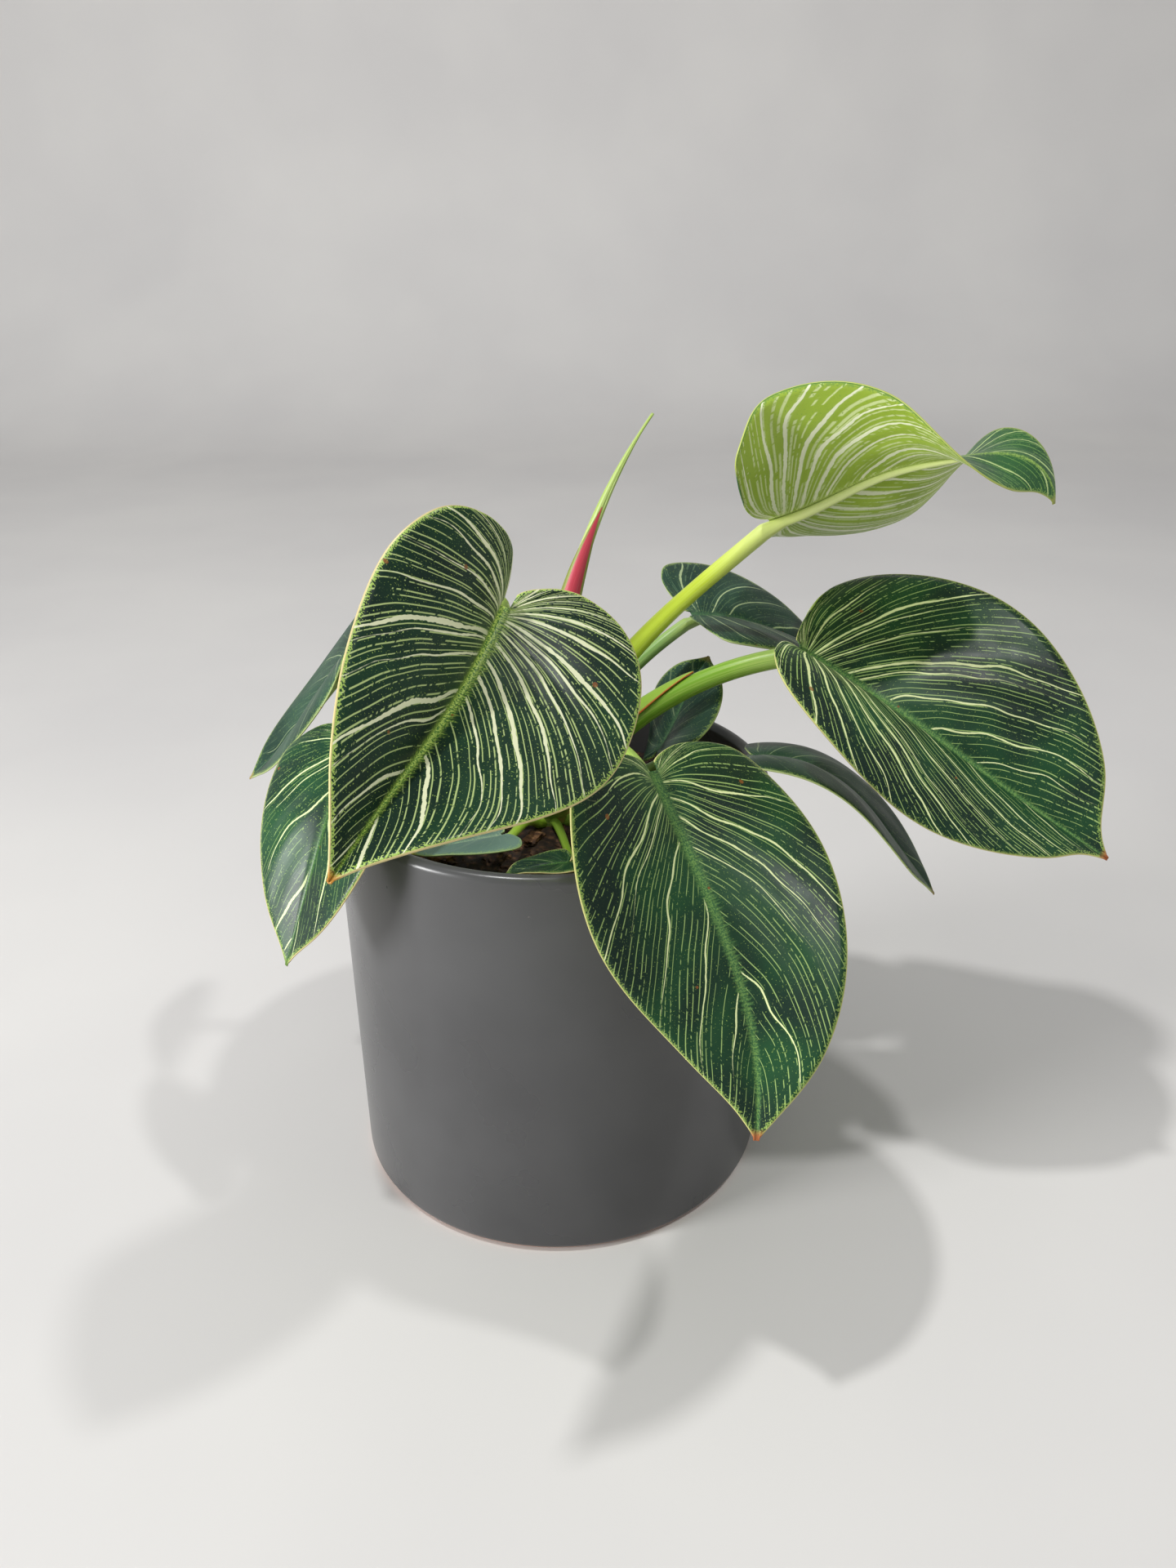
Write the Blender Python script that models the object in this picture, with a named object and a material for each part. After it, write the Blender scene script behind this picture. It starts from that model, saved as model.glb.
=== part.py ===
"""White-striped philodendron in a round ceramic pot.

The pot stands on z = 0 with its axis on the origin. The plant grows from a short stem
in the middle of the potting mix, and every leaf is placed from the rim and the soil, so
it follows the pot's size. Leaves, stalks and sheaths are separate solids.

Run it with: blender --background --python part.py
"""

import math
from collections import namedtuple

import bmesh
import bpy
from mathutils import Matrix, Vector

MM = 0.001
UP = Vector((0, 0, 1))

# Pot
POT_RADIUS = 90 * MM
POT_HEIGHT = 177 * MM
POT_WALL = 6 * MM
POT_FLOOR = 9 * MM
FOOT_FILLET = 4 * MM
POT_SIDES = 64

# Potting mix and what lies in it and on it
SOIL_DROP = 22 * MM
SOIL_CROWN = 3 * MM
CHIP_SIZE = 11 * MM
CHIP_COUNT = 8
ROOT_COUNT = 5
ROOT_RADIUS = 1.8 * MM

# Stem
STEM_RADIUS = 8 * MM
STEM_RISE = 45 * MM
STEM_DEPTH = 32 * MM
STEM_FOOT = 0.55

# Blades. Rows follow the side veins: their feet crowd towards the base of the midrib by
# the sweep, the lowest start within the basal spread, and each bows out by the bulge.
BLADE_THICKNESS = 0.8 * MM
BLADE_ROWS = 14
BLADE_COLUMNS = 4
MIDRIB_SHARE = 0.055
BASAL_SPREAD = 6 * MM
VEIN_SWEEP = 5.5
VEIN_BULGE = 0.17

# Sheaths and the unopened leaf
SHEATH_THICKNESS = 0.7 * MM
SPIKE_HEIGHT = 121 * MM
SPIKE_RADIUS = 4.2 * MM
SPIKE_LEAN = 41 * MM

GAP = 0.3 * MM
STALK_SIDES = 2
ROOM_UNDER_BLADE = 0.6 * MM

# Derived levels
SOIL_TOP = POT_HEIGHT - SOIL_DROP
POT_BORE = POT_RADIUS - POT_WALL
STEM_TOP = SOIL_TOP + STEM_RISE

# Where a blade's base sits: around the pot, past the rim, above the soil; then its length
# in mm. heading, pitch and roll in degrees are stations along the midrib. half_width in mm,
# fold, curl and lobe hold the left half, then the right half.
Leaf = namedtuple(
    "Leaf",
    "name around past_rim above_soil length half_width heading pitch roll fold curl lobe broad",
)
LEAVES = (
    Leaf("front_left", -97, 4, 124, 118, (54, 58), (-115, -111, -113), (-40, -15, -19),
         (-51, -34, -16), (25, 67), (-25, -50), (0.11, 0.09), 0.02),
    Leaf("front_right", -66, 0, 60, 129, (52, 52), (-56, -63, -102), (-45, -47, -47),
         (-21, 4, -2), (11, 19), (-8, -26), (0.06, 0.04), 0.0),
    Leaf("right", -5, 8, 77, 143, (69, 48), (-26, -18, -33), (-22, -33, -25),
         (-14, 17, 18), (30, 19), (-5, -50), (0.04, 0.02), 0.11),
    Leaf("top_right", 12, 0, 122, 121, (60, 62), (-11, -17, -19, -19, -12), (17, 29, 15, -1, -86),
         (-31, -44, -35, 5, 25), (-9, -14), (47, 44), (0.03, 0.04), -0.03),
    Leaf("back_right", 33, -18, 76, 76, (37, 37), (20, 12, 1), (-5, -25, -33),
         (6, 5, -8), (23, 21), (-13, -36), (0.07, 0.07), 0.0),
    Leaf("back_small", 23, -41, 21, 49, (26, 26), (45, 46, 52), (46, 50, 29),
         (-28, -5, 19), (11, 21), (-55, -34), (0.08, 0.07), 0.04),
    Leaf("low_right", -12, -7, 35, 100, (33, 33), (-5, -12, -12), (6, -46, -53),
         (-13, -5, 9), (13, 18), (-30, -29), (0.03, 0.03), 0.0),
    Leaf("low_left", -159, -9, 52, 93, (40, 40), (-104, -125, -142), (-36, -60, -68),
         (23, 5, -6), (22, 13), (-25, -31), (0.10, 0.09), 0.0),
    Leaf("back_left", 167, -9, 73, 87, (37, 37), (164, 168, 174), (-52, -51, -41),
         (-5, -5, -12), (14, 23), (-43, -14), (0.10, 0.10), 0.0),
    Leaf("inside_left", -113, -42, 16, 38, (16, 16), (-150, -158, -165), (6, 0, -8),
         (0, 0, 0), (12, 12), (-10, -10), (0.08, 0.08), 0.0),
    Leaf("inside_front", -83, -28, 13, 27, (9, 9), (200, 205, 210), (8, 2, -6),
         (0, 0, 0), (10, 10), (-10, -10), (0.06, 0.06), 0.0),
)

# A stalk leaves the stem at a side and height, rising at an angle, and reaches the blade
# from a heading and pitch. The radii are at its foot and under the blade, in mm.
Stalk = namedtuple("Stalk", "leaf side height rise lead arrive_heading arrive_pitch tail foot neck")
STALKS = (
    Stalk("front_left", -100, 27, 62, 40, -97, 45, 35, 4.4, 3.3),
    Stalk("front_right", -58, 17, 60, 34, -67, -12, 26, 4.4, 3.4),
    Stalk("right", -8, 22, 62, 28, -4, 10, 34, 5.2, 4.0),
    Stalk("top_right", 24, 34, 74, 32, 9, 38, 45, 4.8, 3.4),
    Stalk("back_right", 62, 20, 55, 26, 30, 22, 18, 3.8, 2.8),
    Stalk("back_small", 50, 3, 48, 12, 15, 40, 12, 2.6, 2.0),
    Stalk("low_right", -32, 3, 40, 22, -10, 12, 22, 3.0, 2.4),
    Stalk("low_left", -150, 12, 58, 26, -160, 4, 26, 3.6, 2.8),
    Stalk("back_left", 165, 22, 62, 30, -176, 10, 26, 3.6, 2.8),
    Stalk("inside_left", -128, 3, 40, 10, -115, 5, 12, 2.4, 1.8),
    Stalk("inside_front", -84, 3, 30, 12, -86, 5, 14, 2.0, 1.5),
)

# A dry leaf sheath that still clasps its stalk, from one share of the stalk to another.
Sheath = namedtuple("Sheath", "leaf start end wrap")
SHEATHS = (
    Sheath("right", 0.22, 0.66, 150),
    Sheath("back_right", 0.18, 0.52, 150),
)


def clear_scene():
    for obj in list(bpy.data.objects):
        bpy.data.objects.remove(obj, do_unlink=True)


def make_material(name, colour, roughness):
    """A Principled BSDF with one colour, none of it metal."""
    material = bpy.data.materials.new(name)
    material.use_nodes = True
    shader = material.node_tree.nodes["Principled BSDF"]
    shader.inputs["Base Color"].default_value = (*colour, 1.0)
    shader.inputs["Roughness"].default_value = roughness
    shader.inputs["Metallic"].default_value = 0.0
    return material


def glazed_ceramic():
    return make_material("charcoal_glaze", (0.055, 0.055, 0.058), 0.45)


def peat_and_bark():
    return make_material("potting_mix", (0.045, 0.028, 0.018), 0.95)


def pine_bark():
    return make_material("pine_bark", (0.17, 0.085, 0.045), 0.9)


def leaf_tissue():
    return make_material("leaf_green", (0.021, 0.068, 0.036), 0.35)


def stalk_tissue():
    return make_material("stalk_green", (0.16, 0.33, 0.03), 0.4)


def stem_tissue():
    return make_material("stem_green", (0.09, 0.16, 0.04), 0.6)


def sheath_tissue():
    return make_material("sheath_green", (0.13, 0.26, 0.04), 0.45)


def new_sheath_tissue():
    return make_material("sheath_red", (0.45, 0.08, 0.10), 0.45)


def new_leaf_tissue():
    return make_material("new_leaf_green", (0.40, 0.50, 0.14), 0.4)


def root_tissue():
    return make_material("root_tan", (0.36, 0.24, 0.12), 0.8)


def add_object(name, mesh, material):
    """Links a mesh as a named, smooth-shaded object."""
    obj = bpy.data.objects.new(name, mesh)
    bpy.context.scene.collection.objects.link(obj)
    mesh.materials.clear()
    mesh.materials.append(material)
    mesh.shade_smooth()
    mesh.set_sharp_from_angle(angle=math.radians(40))
    return obj


def mesh_from(bm, name):
    bmesh.ops.recalc_face_normals(bm, faces=bm.faces)
    mesh = bpy.data.meshes.new(name)
    bm.to_mesh(mesh)
    bm.free()
    return mesh


def direction(heading, pitch):
    """Unit vector for a compass heading from +X and a pitch above level, in degrees."""
    a, e = math.radians(heading), math.radians(pitch)
    return Vector((math.cos(e) * math.cos(a), math.cos(e) * math.sin(a), math.sin(e)))


def turned(name, profile, material, sides=POT_SIDES):
    """A closed solid turned from (radius, height) points that start and end on the axis."""
    bm = bmesh.new()
    verts = [bm.verts.new((r, 0, z)) for r, z in profile]
    edges = [bm.edges.new(pair) for pair in zip(verts, verts[1:])]
    bmesh.ops.spin(bm, geom=verts + edges, cent=(0, 0, 0), axis=UP, angle=math.tau, steps=sides,
                   use_merge=True)
    bmesh.ops.remove_doubles(bm, verts=bm.verts, dist=0.01 * MM)
    return add_object(name, mesh_from(bm, name), material)


def arc(centre, radius, start, end, steps):
    """Points on an arc in the (radius, height) plane, from one angle to another in degrees."""
    angles = [math.radians(start + (end - start) * i / steps) for i in range(steps + 1)]
    return [(centre[0] + radius * math.cos(a), centre[1] + radius * math.sin(a)) for a in angles]


def build_pot():
    """Straight-sided pot: rounded foot, rounded lip, inner wall down to a flat floor."""
    lip = POT_WALL / 2
    profile = [(0.0, 0.0)]
    profile += arc((POT_RADIUS - FOOT_FILLET, FOOT_FILLET), FOOT_FILLET, -90, 0, 4)
    profile += arc((POT_RADIUS - lip, POT_HEIGHT - lip), lip, 0, 180, 8)
    profile += [(POT_BORE, POT_FLOOR), (0.0, POT_FLOOR)]
    return turned("pot", profile, glazed_ceramic())


def soil_height(radius):
    """The mix is a little higher in the middle than at the wall."""
    share = min(radius / POT_BORE, 1.0)
    return SOIL_TOP - SOIL_CROWN * share * share


def build_soil():
    bore = POT_BORE - GAP
    rings = 5
    profile = [(0.0, POT_FLOOR + GAP), (bore, POT_FLOOR + GAP)]
    profile += [(bore * k / rings, soil_height(bore * k / rings)) for k in range(rings, -1, -1)]
    return turned("potting_mix", profile, peat_and_bark(), 48)


def stem_profile(grow=0.0):
    """The stem's outline, or the same outline grown on all sides."""
    foot = SOIL_TOP - STEM_DEPTH - grow
    return [
        (0.0, foot),
        (STEM_RADIUS * STEM_FOOT + grow, foot),
        (STEM_RADIUS + grow, foot + STEM_DEPTH * 0.5),
        (STEM_RADIUS + grow, SOIL_TOP + STEM_RISE * 0.6),
        (STEM_RADIUS * 0.72 + grow, STEM_TOP - 2 * MM + grow),
        (STEM_RADIUS * 0.6 + grow, STEM_TOP + grow),
        (0.0, STEM_TOP + grow),
    ]


def build_stem():
    return turned("main_stem", stem_profile(), stem_tissue(), 20)


def tube_mesh(name, points, radii, grow=0.0):
    """A capped round tube along the points, with a radius at each of them."""
    curve = bpy.data.curves.new(name, "CURVE")
    curve.dimensions = "3D"
    curve.bevel_depth = 1.0
    curve.bevel_resolution = STALK_SIDES
    curve.use_fill_caps = True
    spline = curve.splines.new("POLY")
    spline.points.add(len(points) - 1)
    for target, point, radius in zip(spline.points, points, radii):
        target.co = (*point, 1.0)
        target.radius = radius + grow
    guide = bpy.data.objects.new(name, curve)
    bpy.context.scene.collection.objects.link(guide)
    mesh = bpy.data.meshes.new_from_object(guide)
    bpy.data.objects.remove(guide)
    bm = bmesh.new()
    bm.from_mesh(mesh)
    bmesh.ops.remove_doubles(bm, verts=bm.verts, dist=0.01 * MM)
    return mesh_from(bm, name)


def bezier(start, lead, tail, end, steps):
    """Points along a cubic curve with one handle at each end."""
    points = []
    for i in range(steps + 1):
        t = i / steps
        s = 1 - t
        points.append(s**3 * start + 3 * s * s * t * lead + 3 * s * t * t * tail + t**3 * end)
    return points


def root_route(index):
    """A root starts at the foot of the stem and wanders out and down."""
    side = 360 * index / ROOT_COUNT + 20
    foot = Vector((0, 0, SOIL_TOP - STEM_DEPTH))
    start = foot + direction(side, 0) * STEM_RADIUS * STEM_FOOT - UP * (GAP + ROOT_RADIUS * 0.4)
    reach = POT_BORE * (0.62 if index % 2 else 0.45)
    end = direction(side + 18, 0) * reach + UP * (POT_FLOOR + 14 * MM + 5 * MM * index)
    lead = start + direction(side, -76) * 26 * MM
    tail = end - direction(side + 40, -30) * 26 * MM
    points = bezier(start, lead, tail, end, 8)
    radii = [ROOT_RADIUS * (1 - 0.6 * i / 8) for i in range(9)]
    return points, radii


def build_roots():
    tissue = root_tissue()
    for index in range(ROOT_COUNT):
        points, radii = root_route(index)
        add_object(f"root_{index + 1}", tube_mesh(f"root_{index + 1}", points, radii), tissue)


def cut(target, cutter):
    """Takes one object out of another, and keeps the cutter as a wire guide."""
    cutter.hide_render = True
    cutter.display_type = "WIRE"
    modifier = target.modifiers.new(f"cut_{cutter.name}", "BOOLEAN")
    modifier.operation = "DIFFERENCE"
    modifier.solver = "EXACT"
    modifier.object = cutter


def hollow_soil(soil):
    """Makes room in the mix for the stem and the roots, open to the air round the stem."""
    mix = soil.data.materials[0]
    cut(soil, turned("room_for_stem", stem_profile(GAP), mix, 20))
    for index in range(ROOT_COUNT):
        points, radii = root_route(index)
        out, back = points[-1] - points[-2], points[0] - points[1]
        points[-1] = points[-1] + out.normalized() * 2 * GAP
        points.insert(0, points[0] + back.normalized() * 2 * ROOT_RADIUS)
        radii.insert(0, radii[0])
        name = f"room_for_root_{index + 1}"
        cut(soil, add_object(name, tube_mesh(name, points, radii, 1.5 * GAP), mix))


def flake(size, index):
    """A flat chip with bevelled edges and slightly skewed sides, centred on the origin."""
    bm = bmesh.new()
    bmesh.ops.create_cube(bm, size=1.0)
    bmesh.ops.bevel(bm, geom=bm.edges, offset=0.16, segments=1, profile=0.5, affect="EDGES",
                    material=-1)
    for vert in bm.verts:
        vert.co.x *= 1.0 + 0.25 * math.sin(3 * vert.co.y + index)
    bmesh.ops.scale(bm, vec=(size, size * 0.62, size * 0.30), verts=bm.verts)
    return bm


def build_chips():
    """Flakes of bark lie round the stem on the mix."""
    bark = pine_bark()
    nearest = STEM_RADIUS + CHIP_SIZE
    furthest = POT_BORE - CHIP_SIZE
    for index in range(CHIP_COUNT):
        side = 137.5 * index + 250
        away = nearest + (furthest - nearest) * (index + 0.5) / CHIP_COUNT
        size = CHIP_SIZE * (0.75 + 0.5 * ((index * 7) % 5) / 4)
        bm = flake(size, index)
        spin = Matrix.Rotation(math.radians(side * 1.7), 3, "Z")
        bmesh.ops.rotate(bm, matrix=spin, verts=bm.verts)
        floor = max(soil_height(away - size / 2), soil_height(away))
        spot = direction(side, 0) * away + UP * (floor + size * 0.15 + GAP)
        bmesh.ops.translate(bm, vec=spot, verts=bm.verts)
        add_object(f"bark_chip_{index + 1}", mesh_from(bm, "bark_chip"), bark)


def stations(values, share):
    """A smooth value along the midrib through evenly spaced stations, straight before 0."""
    last = len(values) - 1
    padded = [2 * values[0] - values[1], *values, 2 * values[-1] - values[-2]]
    clamped = min(max(share, 0.0), 1.0) * last
    i = min(int(clamped), last - 1)
    f = clamped - i
    a, b, c, d = padded[i:i + 4]
    square, cube = 2 * a - 5 * b + 4 * c - d, 3 * b - a - 3 * c + d
    smooth = 0.5 * (2 * b + (c - a) * f + square * f**2 + cube * f**3)
    return smooth + min(share, 0.0) * last * (values[1] - values[0])


def margin_points(lobe, broad):
    """Half of a heart-shaped outline as (share of half width, share of length) points."""
    return [
        (0.0, 0.0), (0.13, -0.62 * lobe), (0.40, -lobe), (0.74, -0.70 * lobe),
        (0.95, 0.02 + broad / 2), (1.0, 0.20 + broad), (0.93, 0.40 + broad),
        (0.73, 0.61 + 0.8 * broad), (0.44, 0.80 + broad / 2), (0.13, 0.94), (0.0, 1.0),
    ]


def smooth_line(points, steps):
    """Samples a Catmull-Rom curve through plane points, evenly by length."""
    xs, ys = zip(*points)
    dense = []
    count = 12 * (len(points) - 1)
    for i in range(count + 1):
        dense.append(Vector((max(stations(xs, i / count), 0.0), stations(ys, i / count))))
    lengths = [0.0]
    for a, b in zip(dense, dense[1:]):
        lengths.append(lengths[-1] + (b - a).length)
    line = []
    for k in range(steps + 1):
        goal = lengths[-1] * k / steps
        i = max(j for j in range(count) if lengths[j] <= goal + 1e-12)
        part = (goal - lengths[i]) / (lengths[i + 1] - lengths[i])
        line.append(dense[i].lerp(dense[i + 1], part))
    return line


def vein_line(leaf, half_width, edge, row_share):
    """Flat points (across, along) of one side vein, from the midrib out to the margin."""
    length, half = leaf.length * MM, half_width * MM
    base = min(BASAL_SPREAD, 0.12 * length)
    along = base * row_share + (length - base) * row_share**VEIN_SWEEP
    midrib = MIDRIB_SHARE * min(leaf.half_width) * MM
    start = Vector((midrib * (1 - 0.8 * along / length), along))
    end = Vector((max(edge.x * half, start.x * 1.2), edge.y * length))
    chord = end - start
    fade = min(1.0, 4 * row_share) * min(1.0, 8 * (1 - row_share))
    middle = (start + end) / 2 + Vector((chord.y, -chord.x)) * VEIN_BULGE * fade
    line = []
    for k in range(BLADE_COLUMNS + 1):
        t = k / BLADE_COLUMNS
        line.append((1 - t) ** 2 * start + 2 * t * (1 - t) * middle + t * t * end)
    return line


def leaf_base(leaf):
    """World place of the blade's base, where the stalk meets the midrib."""
    reach = POT_RADIUS + leaf.past_rim * MM
    return direction(leaf.around, 0) * reach + UP * (SOIL_TOP + leaf.above_soil * MM)


def spine(leaf, steps=90, back=0.35):
    """Frames (share, point, along, across, normal) down the midrib, from behind the base."""
    step = (1 + back) / steps
    frames = []
    point = Vector((0, 0, 0))
    base = None
    for i in range(steps + 1):
        share = -back + step * i
        heading, pitch = stations(leaf.heading, share), stations(leaf.pitch, share)
        along = direction(heading, pitch)
        rise = direction(heading, pitch + 90)
        across = along.cross(rise)
        turn = Matrix.Rotation(math.radians(stations(leaf.roll, share)), 3, along)
        if frames:
            point = point + (frames[-1][2] + along) * (step * leaf.length * MM / 2)
        if base is None and share >= -1e-9:
            base = point.copy()
        frames.append([share, point, along, turn @ across, turn @ rise])
    shift = leaf_base(leaf) - base
    for frame in frames:
        frame[1] = frame[1] + shift
    return frames


def place(leaf, frames, flat, side):
    """Lays a flat point of the blade onto its folded and curled form. side is -1 or 1."""
    share = flat.y / (leaf.length * MM)
    spot = (share - frames[0][0]) / (frames[1][0] - frames[0][0])
    i = min(max(int(spot), 0), len(frames) - 2)
    f = spot - i
    point, _, across, normal = (a.lerp(b, f) for a, b in zip(frames[i][1:], frames[i + 1][1:]))
    half = 0 if side < 0 else 1
    fold = math.radians(leaf.fold[half])
    bend = math.radians(leaf.curl[half]) / (leaf.half_width[half] * MM)
    out = (math.sin(fold + bend * flat.x) - math.sin(fold)) / bend
    lift = (math.cos(fold) - math.cos(fold + bend * flat.x)) / bend
    return point + across * (side * out) + normal * lift


def blade_columns(leaf):
    """Rows of flat points with their side, from the left margin to the right one."""
    edges = [smooth_line(margin_points(lobe, leaf.broad), BLADE_ROWS + 1) for lobe in leaf.lobe]
    rows = []
    for row in range(1, BLADE_ROWS + 2):
        share = row / (BLADE_ROWS + 1)
        left, right = (
            vein_line(leaf, half, edge[row], share) for half, edge in zip(leaf.half_width, edges)
        )
        middle = [(Vector((0.0, left[0].y)), 1)]
        rows.append([(p, -1) for p in reversed(left)] + middle + [(p, 1) for p in right])
    return rows


def build_blade(leaf, material):
    """A grid whose rows follow the side veins, laid on the leaf's form and given its wall."""
    rows = blade_columns(leaf)
    frames = spine(leaf)
    across = len(rows[0])
    bm = bmesh.new()
    bmesh.ops.create_grid(bm, x_segments=across - 1, y_segments=len(rows) - 1, size=1.0)
    bm.verts.ensure_lookup_table()
    for vert in bm.verts:
        column = round((vert.co.x + 1) / 2 * (across - 1))
        row = round((vert.co.y + 1) / 2 * (len(rows) - 1))
        flat, side = rows[row][column]
        vert.co = place(leaf, frames, flat, side)
    obj = add_object(f"leaf_{leaf.name}", mesh_from(bm, f"leaf_{leaf.name}"), material)
    wall = obj.modifiers.new("wall", "SOLIDIFY")
    wall.thickness = BLADE_THICKNESS
    wall.offset = 0.0
    return obj


def stalk_route(stalk, steps=9):
    """Points and radii of a leaf stalk, from beside the stem to under its blade."""
    leaf = next(leaf for leaf in LEAVES if leaf.name == stalk.leaf)
    frames = spine(leaf)
    _, base, along, _, normal = next(frame for frame in frames if frame[0] >= -1e-9)
    foot, neck = stalk.foot * MM, stalk.neck * MM
    start = direction(stalk.side, 0) * (STEM_RADIUS + 2 * GAP + foot)
    start += UP * (SOIL_TOP + stalk.height * MM)
    end = base - along * neck * 0.8 - normal * (neck + BLADE_THICKNESS / 2 + GAP + ROOM_UNDER_BLADE)
    lead = start + direction(stalk.side, stalk.rise) * stalk.lead * MM
    tail = end - direction(stalk.arrive_heading, stalk.arrive_pitch) * stalk.tail * MM
    points = bezier(start, lead, tail, end, steps)
    radii = [foot + (neck - foot) * min(1.0, 1.4 * i / steps) for i in range(steps + 1)]
    return points, radii


def build_stalks():
    tissue = stalk_tissue()
    for stalk in STALKS:
        name = f"petiole_{stalk.leaf}"
        points, radii = stalk_route(stalk)
        add_object(name, tube_mesh(name, points, radii), tissue)


def wrapped_sheet(name, points, radii, wrap, facing, material):
    """A thin pointed sheet curled round a line, its middle facing one way and its tip last."""
    columns = 6
    bm = bmesh.new()
    rows = len(points)
    bmesh.ops.create_grid(bm, x_segments=columns, y_segments=rows - 1, size=1.0)
    for vert in bm.verts:
        column = (vert.co.x + 1) / 2
        row = round((vert.co.y + 1) / 2 * (rows - 1))
        ahead = points[min(row + 1, rows - 1)] - points[max(row - 1, 0)]
        side = ahead.cross(facing).normalized()
        top = side.cross(ahead).normalized()
        share = row / (rows - 1)
        angle = math.radians(wrap * (column - 0.5) * (1.04 - share**2.2))
        vert.co = points[row] + (side * math.sin(angle) + top * math.cos(angle)) * radii[row]
    obj = add_object(name, mesh_from(bm, name), material)
    wall = obj.modifiers.new("wall", "SOLIDIFY")
    wall.thickness = SHEATH_THICKNESS
    wall.offset = 0.0
    return obj


def build_sheaths():
    tissue = sheath_tissue()
    for sheath in SHEATHS:
        stalk = next(stalk for stalk in STALKS if stalk.leaf == sheath.leaf)
        steps = 27
        points, radii = stalk_route(stalk, steps)
        first, last = round(sheath.start * steps), round(sheath.end * steps)
        clear = 2 * GAP + SHEATH_THICKNESS / 2
        wrapped_sheet(f"sheath_{sheath.leaf}", points[first:last + 1],
                      [r + clear for r in radii[first:last + 1]], sheath.wrap, UP, tissue)


def spike_route(steps=12):
    """The rolled new leaf stands on top of the stem and leans a little to the right."""
    start = UP * (STEM_TOP + 2 * GAP)
    end = start + Vector((SPIKE_LEAN, 0, SPIKE_HEIGHT))
    lead = start + Vector((0.08, 0, 1)) * SPIKE_HEIGHT * 0.4
    tail = end - Vector((0.58, 0, 0.81)) * SPIKE_HEIGHT * 0.3
    points = bezier(start, lead, tail, end, steps)
    radii = [SPIKE_RADIUS * max(0.14, 1 - (i / steps) ** 1.3) for i in range(steps + 1)]
    return points, radii


def build_spike():
    """The unopened leaf, and the two halves of the sheath that it pushes out of."""
    points, radii = spike_route()
    add_object("new_leaf", tube_mesh("new_leaf", points, radii), new_leaf_tissue())
    tissue = new_sheath_tissue()
    covered = 9
    clear = 2 * GAP + SHEATH_THICKNESS / 2
    for name, facing in (("front", Vector((0, -1, 0))), ("back", Vector((0, 1, 0)))):
        wrapped_sheet(f"new_leaf_sheath_{name}", points[:covered],
                      [r + clear for r in radii[:covered]], 165, facing, tissue)


def main():
    clear_scene()
    build_pot()
    soil = build_soil()
    build_stem()
    build_roots()
    hollow_soil(soil)
    build_chips()
    green = leaf_tissue()
    for leaf in LEAVES:
        build_blade(leaf, green)
    build_stalks()
    build_sheaths()
    build_spike()


main()
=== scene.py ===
"""Looks of the white-striped philodendron: waxy blades, stalks, bark mix and glazed pot.

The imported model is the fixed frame. Blades, stalks and sheaths are laid on the same curves
as their CAD solids, with finer rows, relief and skins, and each stands for its solid.
"""

import logging  # noqa: E402
import math  # noqa: E402
import random  # noqa: E402
from collections.abc import Callable, Sequence  # noqa: E402
from dataclasses import dataclass, field, replace  # noqa: E402
from enum import Enum  # noqa: E402
from functools import partial  # noqa: E402

import bmesh  # noqa: E402
import bpy  # noqa: E402
from mathutils import Matrix, Vector, noise  # noqa: E402


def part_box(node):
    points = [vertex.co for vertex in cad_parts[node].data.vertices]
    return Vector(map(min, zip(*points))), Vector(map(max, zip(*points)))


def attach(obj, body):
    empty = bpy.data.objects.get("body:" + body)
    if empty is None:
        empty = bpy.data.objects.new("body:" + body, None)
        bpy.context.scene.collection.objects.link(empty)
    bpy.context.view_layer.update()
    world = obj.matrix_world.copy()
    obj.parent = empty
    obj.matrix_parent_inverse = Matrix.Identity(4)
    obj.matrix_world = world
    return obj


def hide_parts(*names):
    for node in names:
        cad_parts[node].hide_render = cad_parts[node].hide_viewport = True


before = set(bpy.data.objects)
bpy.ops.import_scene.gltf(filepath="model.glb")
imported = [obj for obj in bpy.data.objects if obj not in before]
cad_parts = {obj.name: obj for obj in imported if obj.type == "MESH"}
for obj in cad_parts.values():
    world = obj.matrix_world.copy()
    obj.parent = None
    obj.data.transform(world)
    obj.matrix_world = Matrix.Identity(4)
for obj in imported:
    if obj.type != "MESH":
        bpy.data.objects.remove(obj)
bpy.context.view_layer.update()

LOG = logging.getLogger("philodendron")

MM = 0.001
UP = Vector((0, 0, 1))

Point = tuple[float, float]
Colour = tuple[float, float, float, float]
Laid = tuple[Vector, dict[str, Vector]]
Source = bpy.types.Node | bpy.types.NodeSocket | Sequence[float] | float

# The setting that a node type is mostly chosen by.
MAIN_SETTING = {
    "Math": "operation",
    "MapRange": "interpolation_type",
    "Mix": "data_type",
    "TexVoronoi": "voronoi_dimensions",
}


class Side(Enum):
    """Which half of a blade, seen from its upper side with the tip ahead."""

    LEFT = -1
    RIGHT = 1


# ---------------------------------------------------------------- colour and nodes


def linear(code: str) -> Colour:
    """Turns an sRGB hex value to linear colour.

    Args:
        code: six hex digits, with or without a leading hash.

    Returns:
        Red, green and blue as linear values, and an alpha of 1.
    """
    digits = code.lstrip("#")
    parts = [int(digits[i : i + 2], 16) / 255 for i in (0, 2, 4)]
    curve = [p / 12.92 if p <= 0.04045 else ((p + 0.055) / 1.055) ** 2.4 for p in parts]
    return (curve[0], curve[1], curve[2], 1.0)


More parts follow.
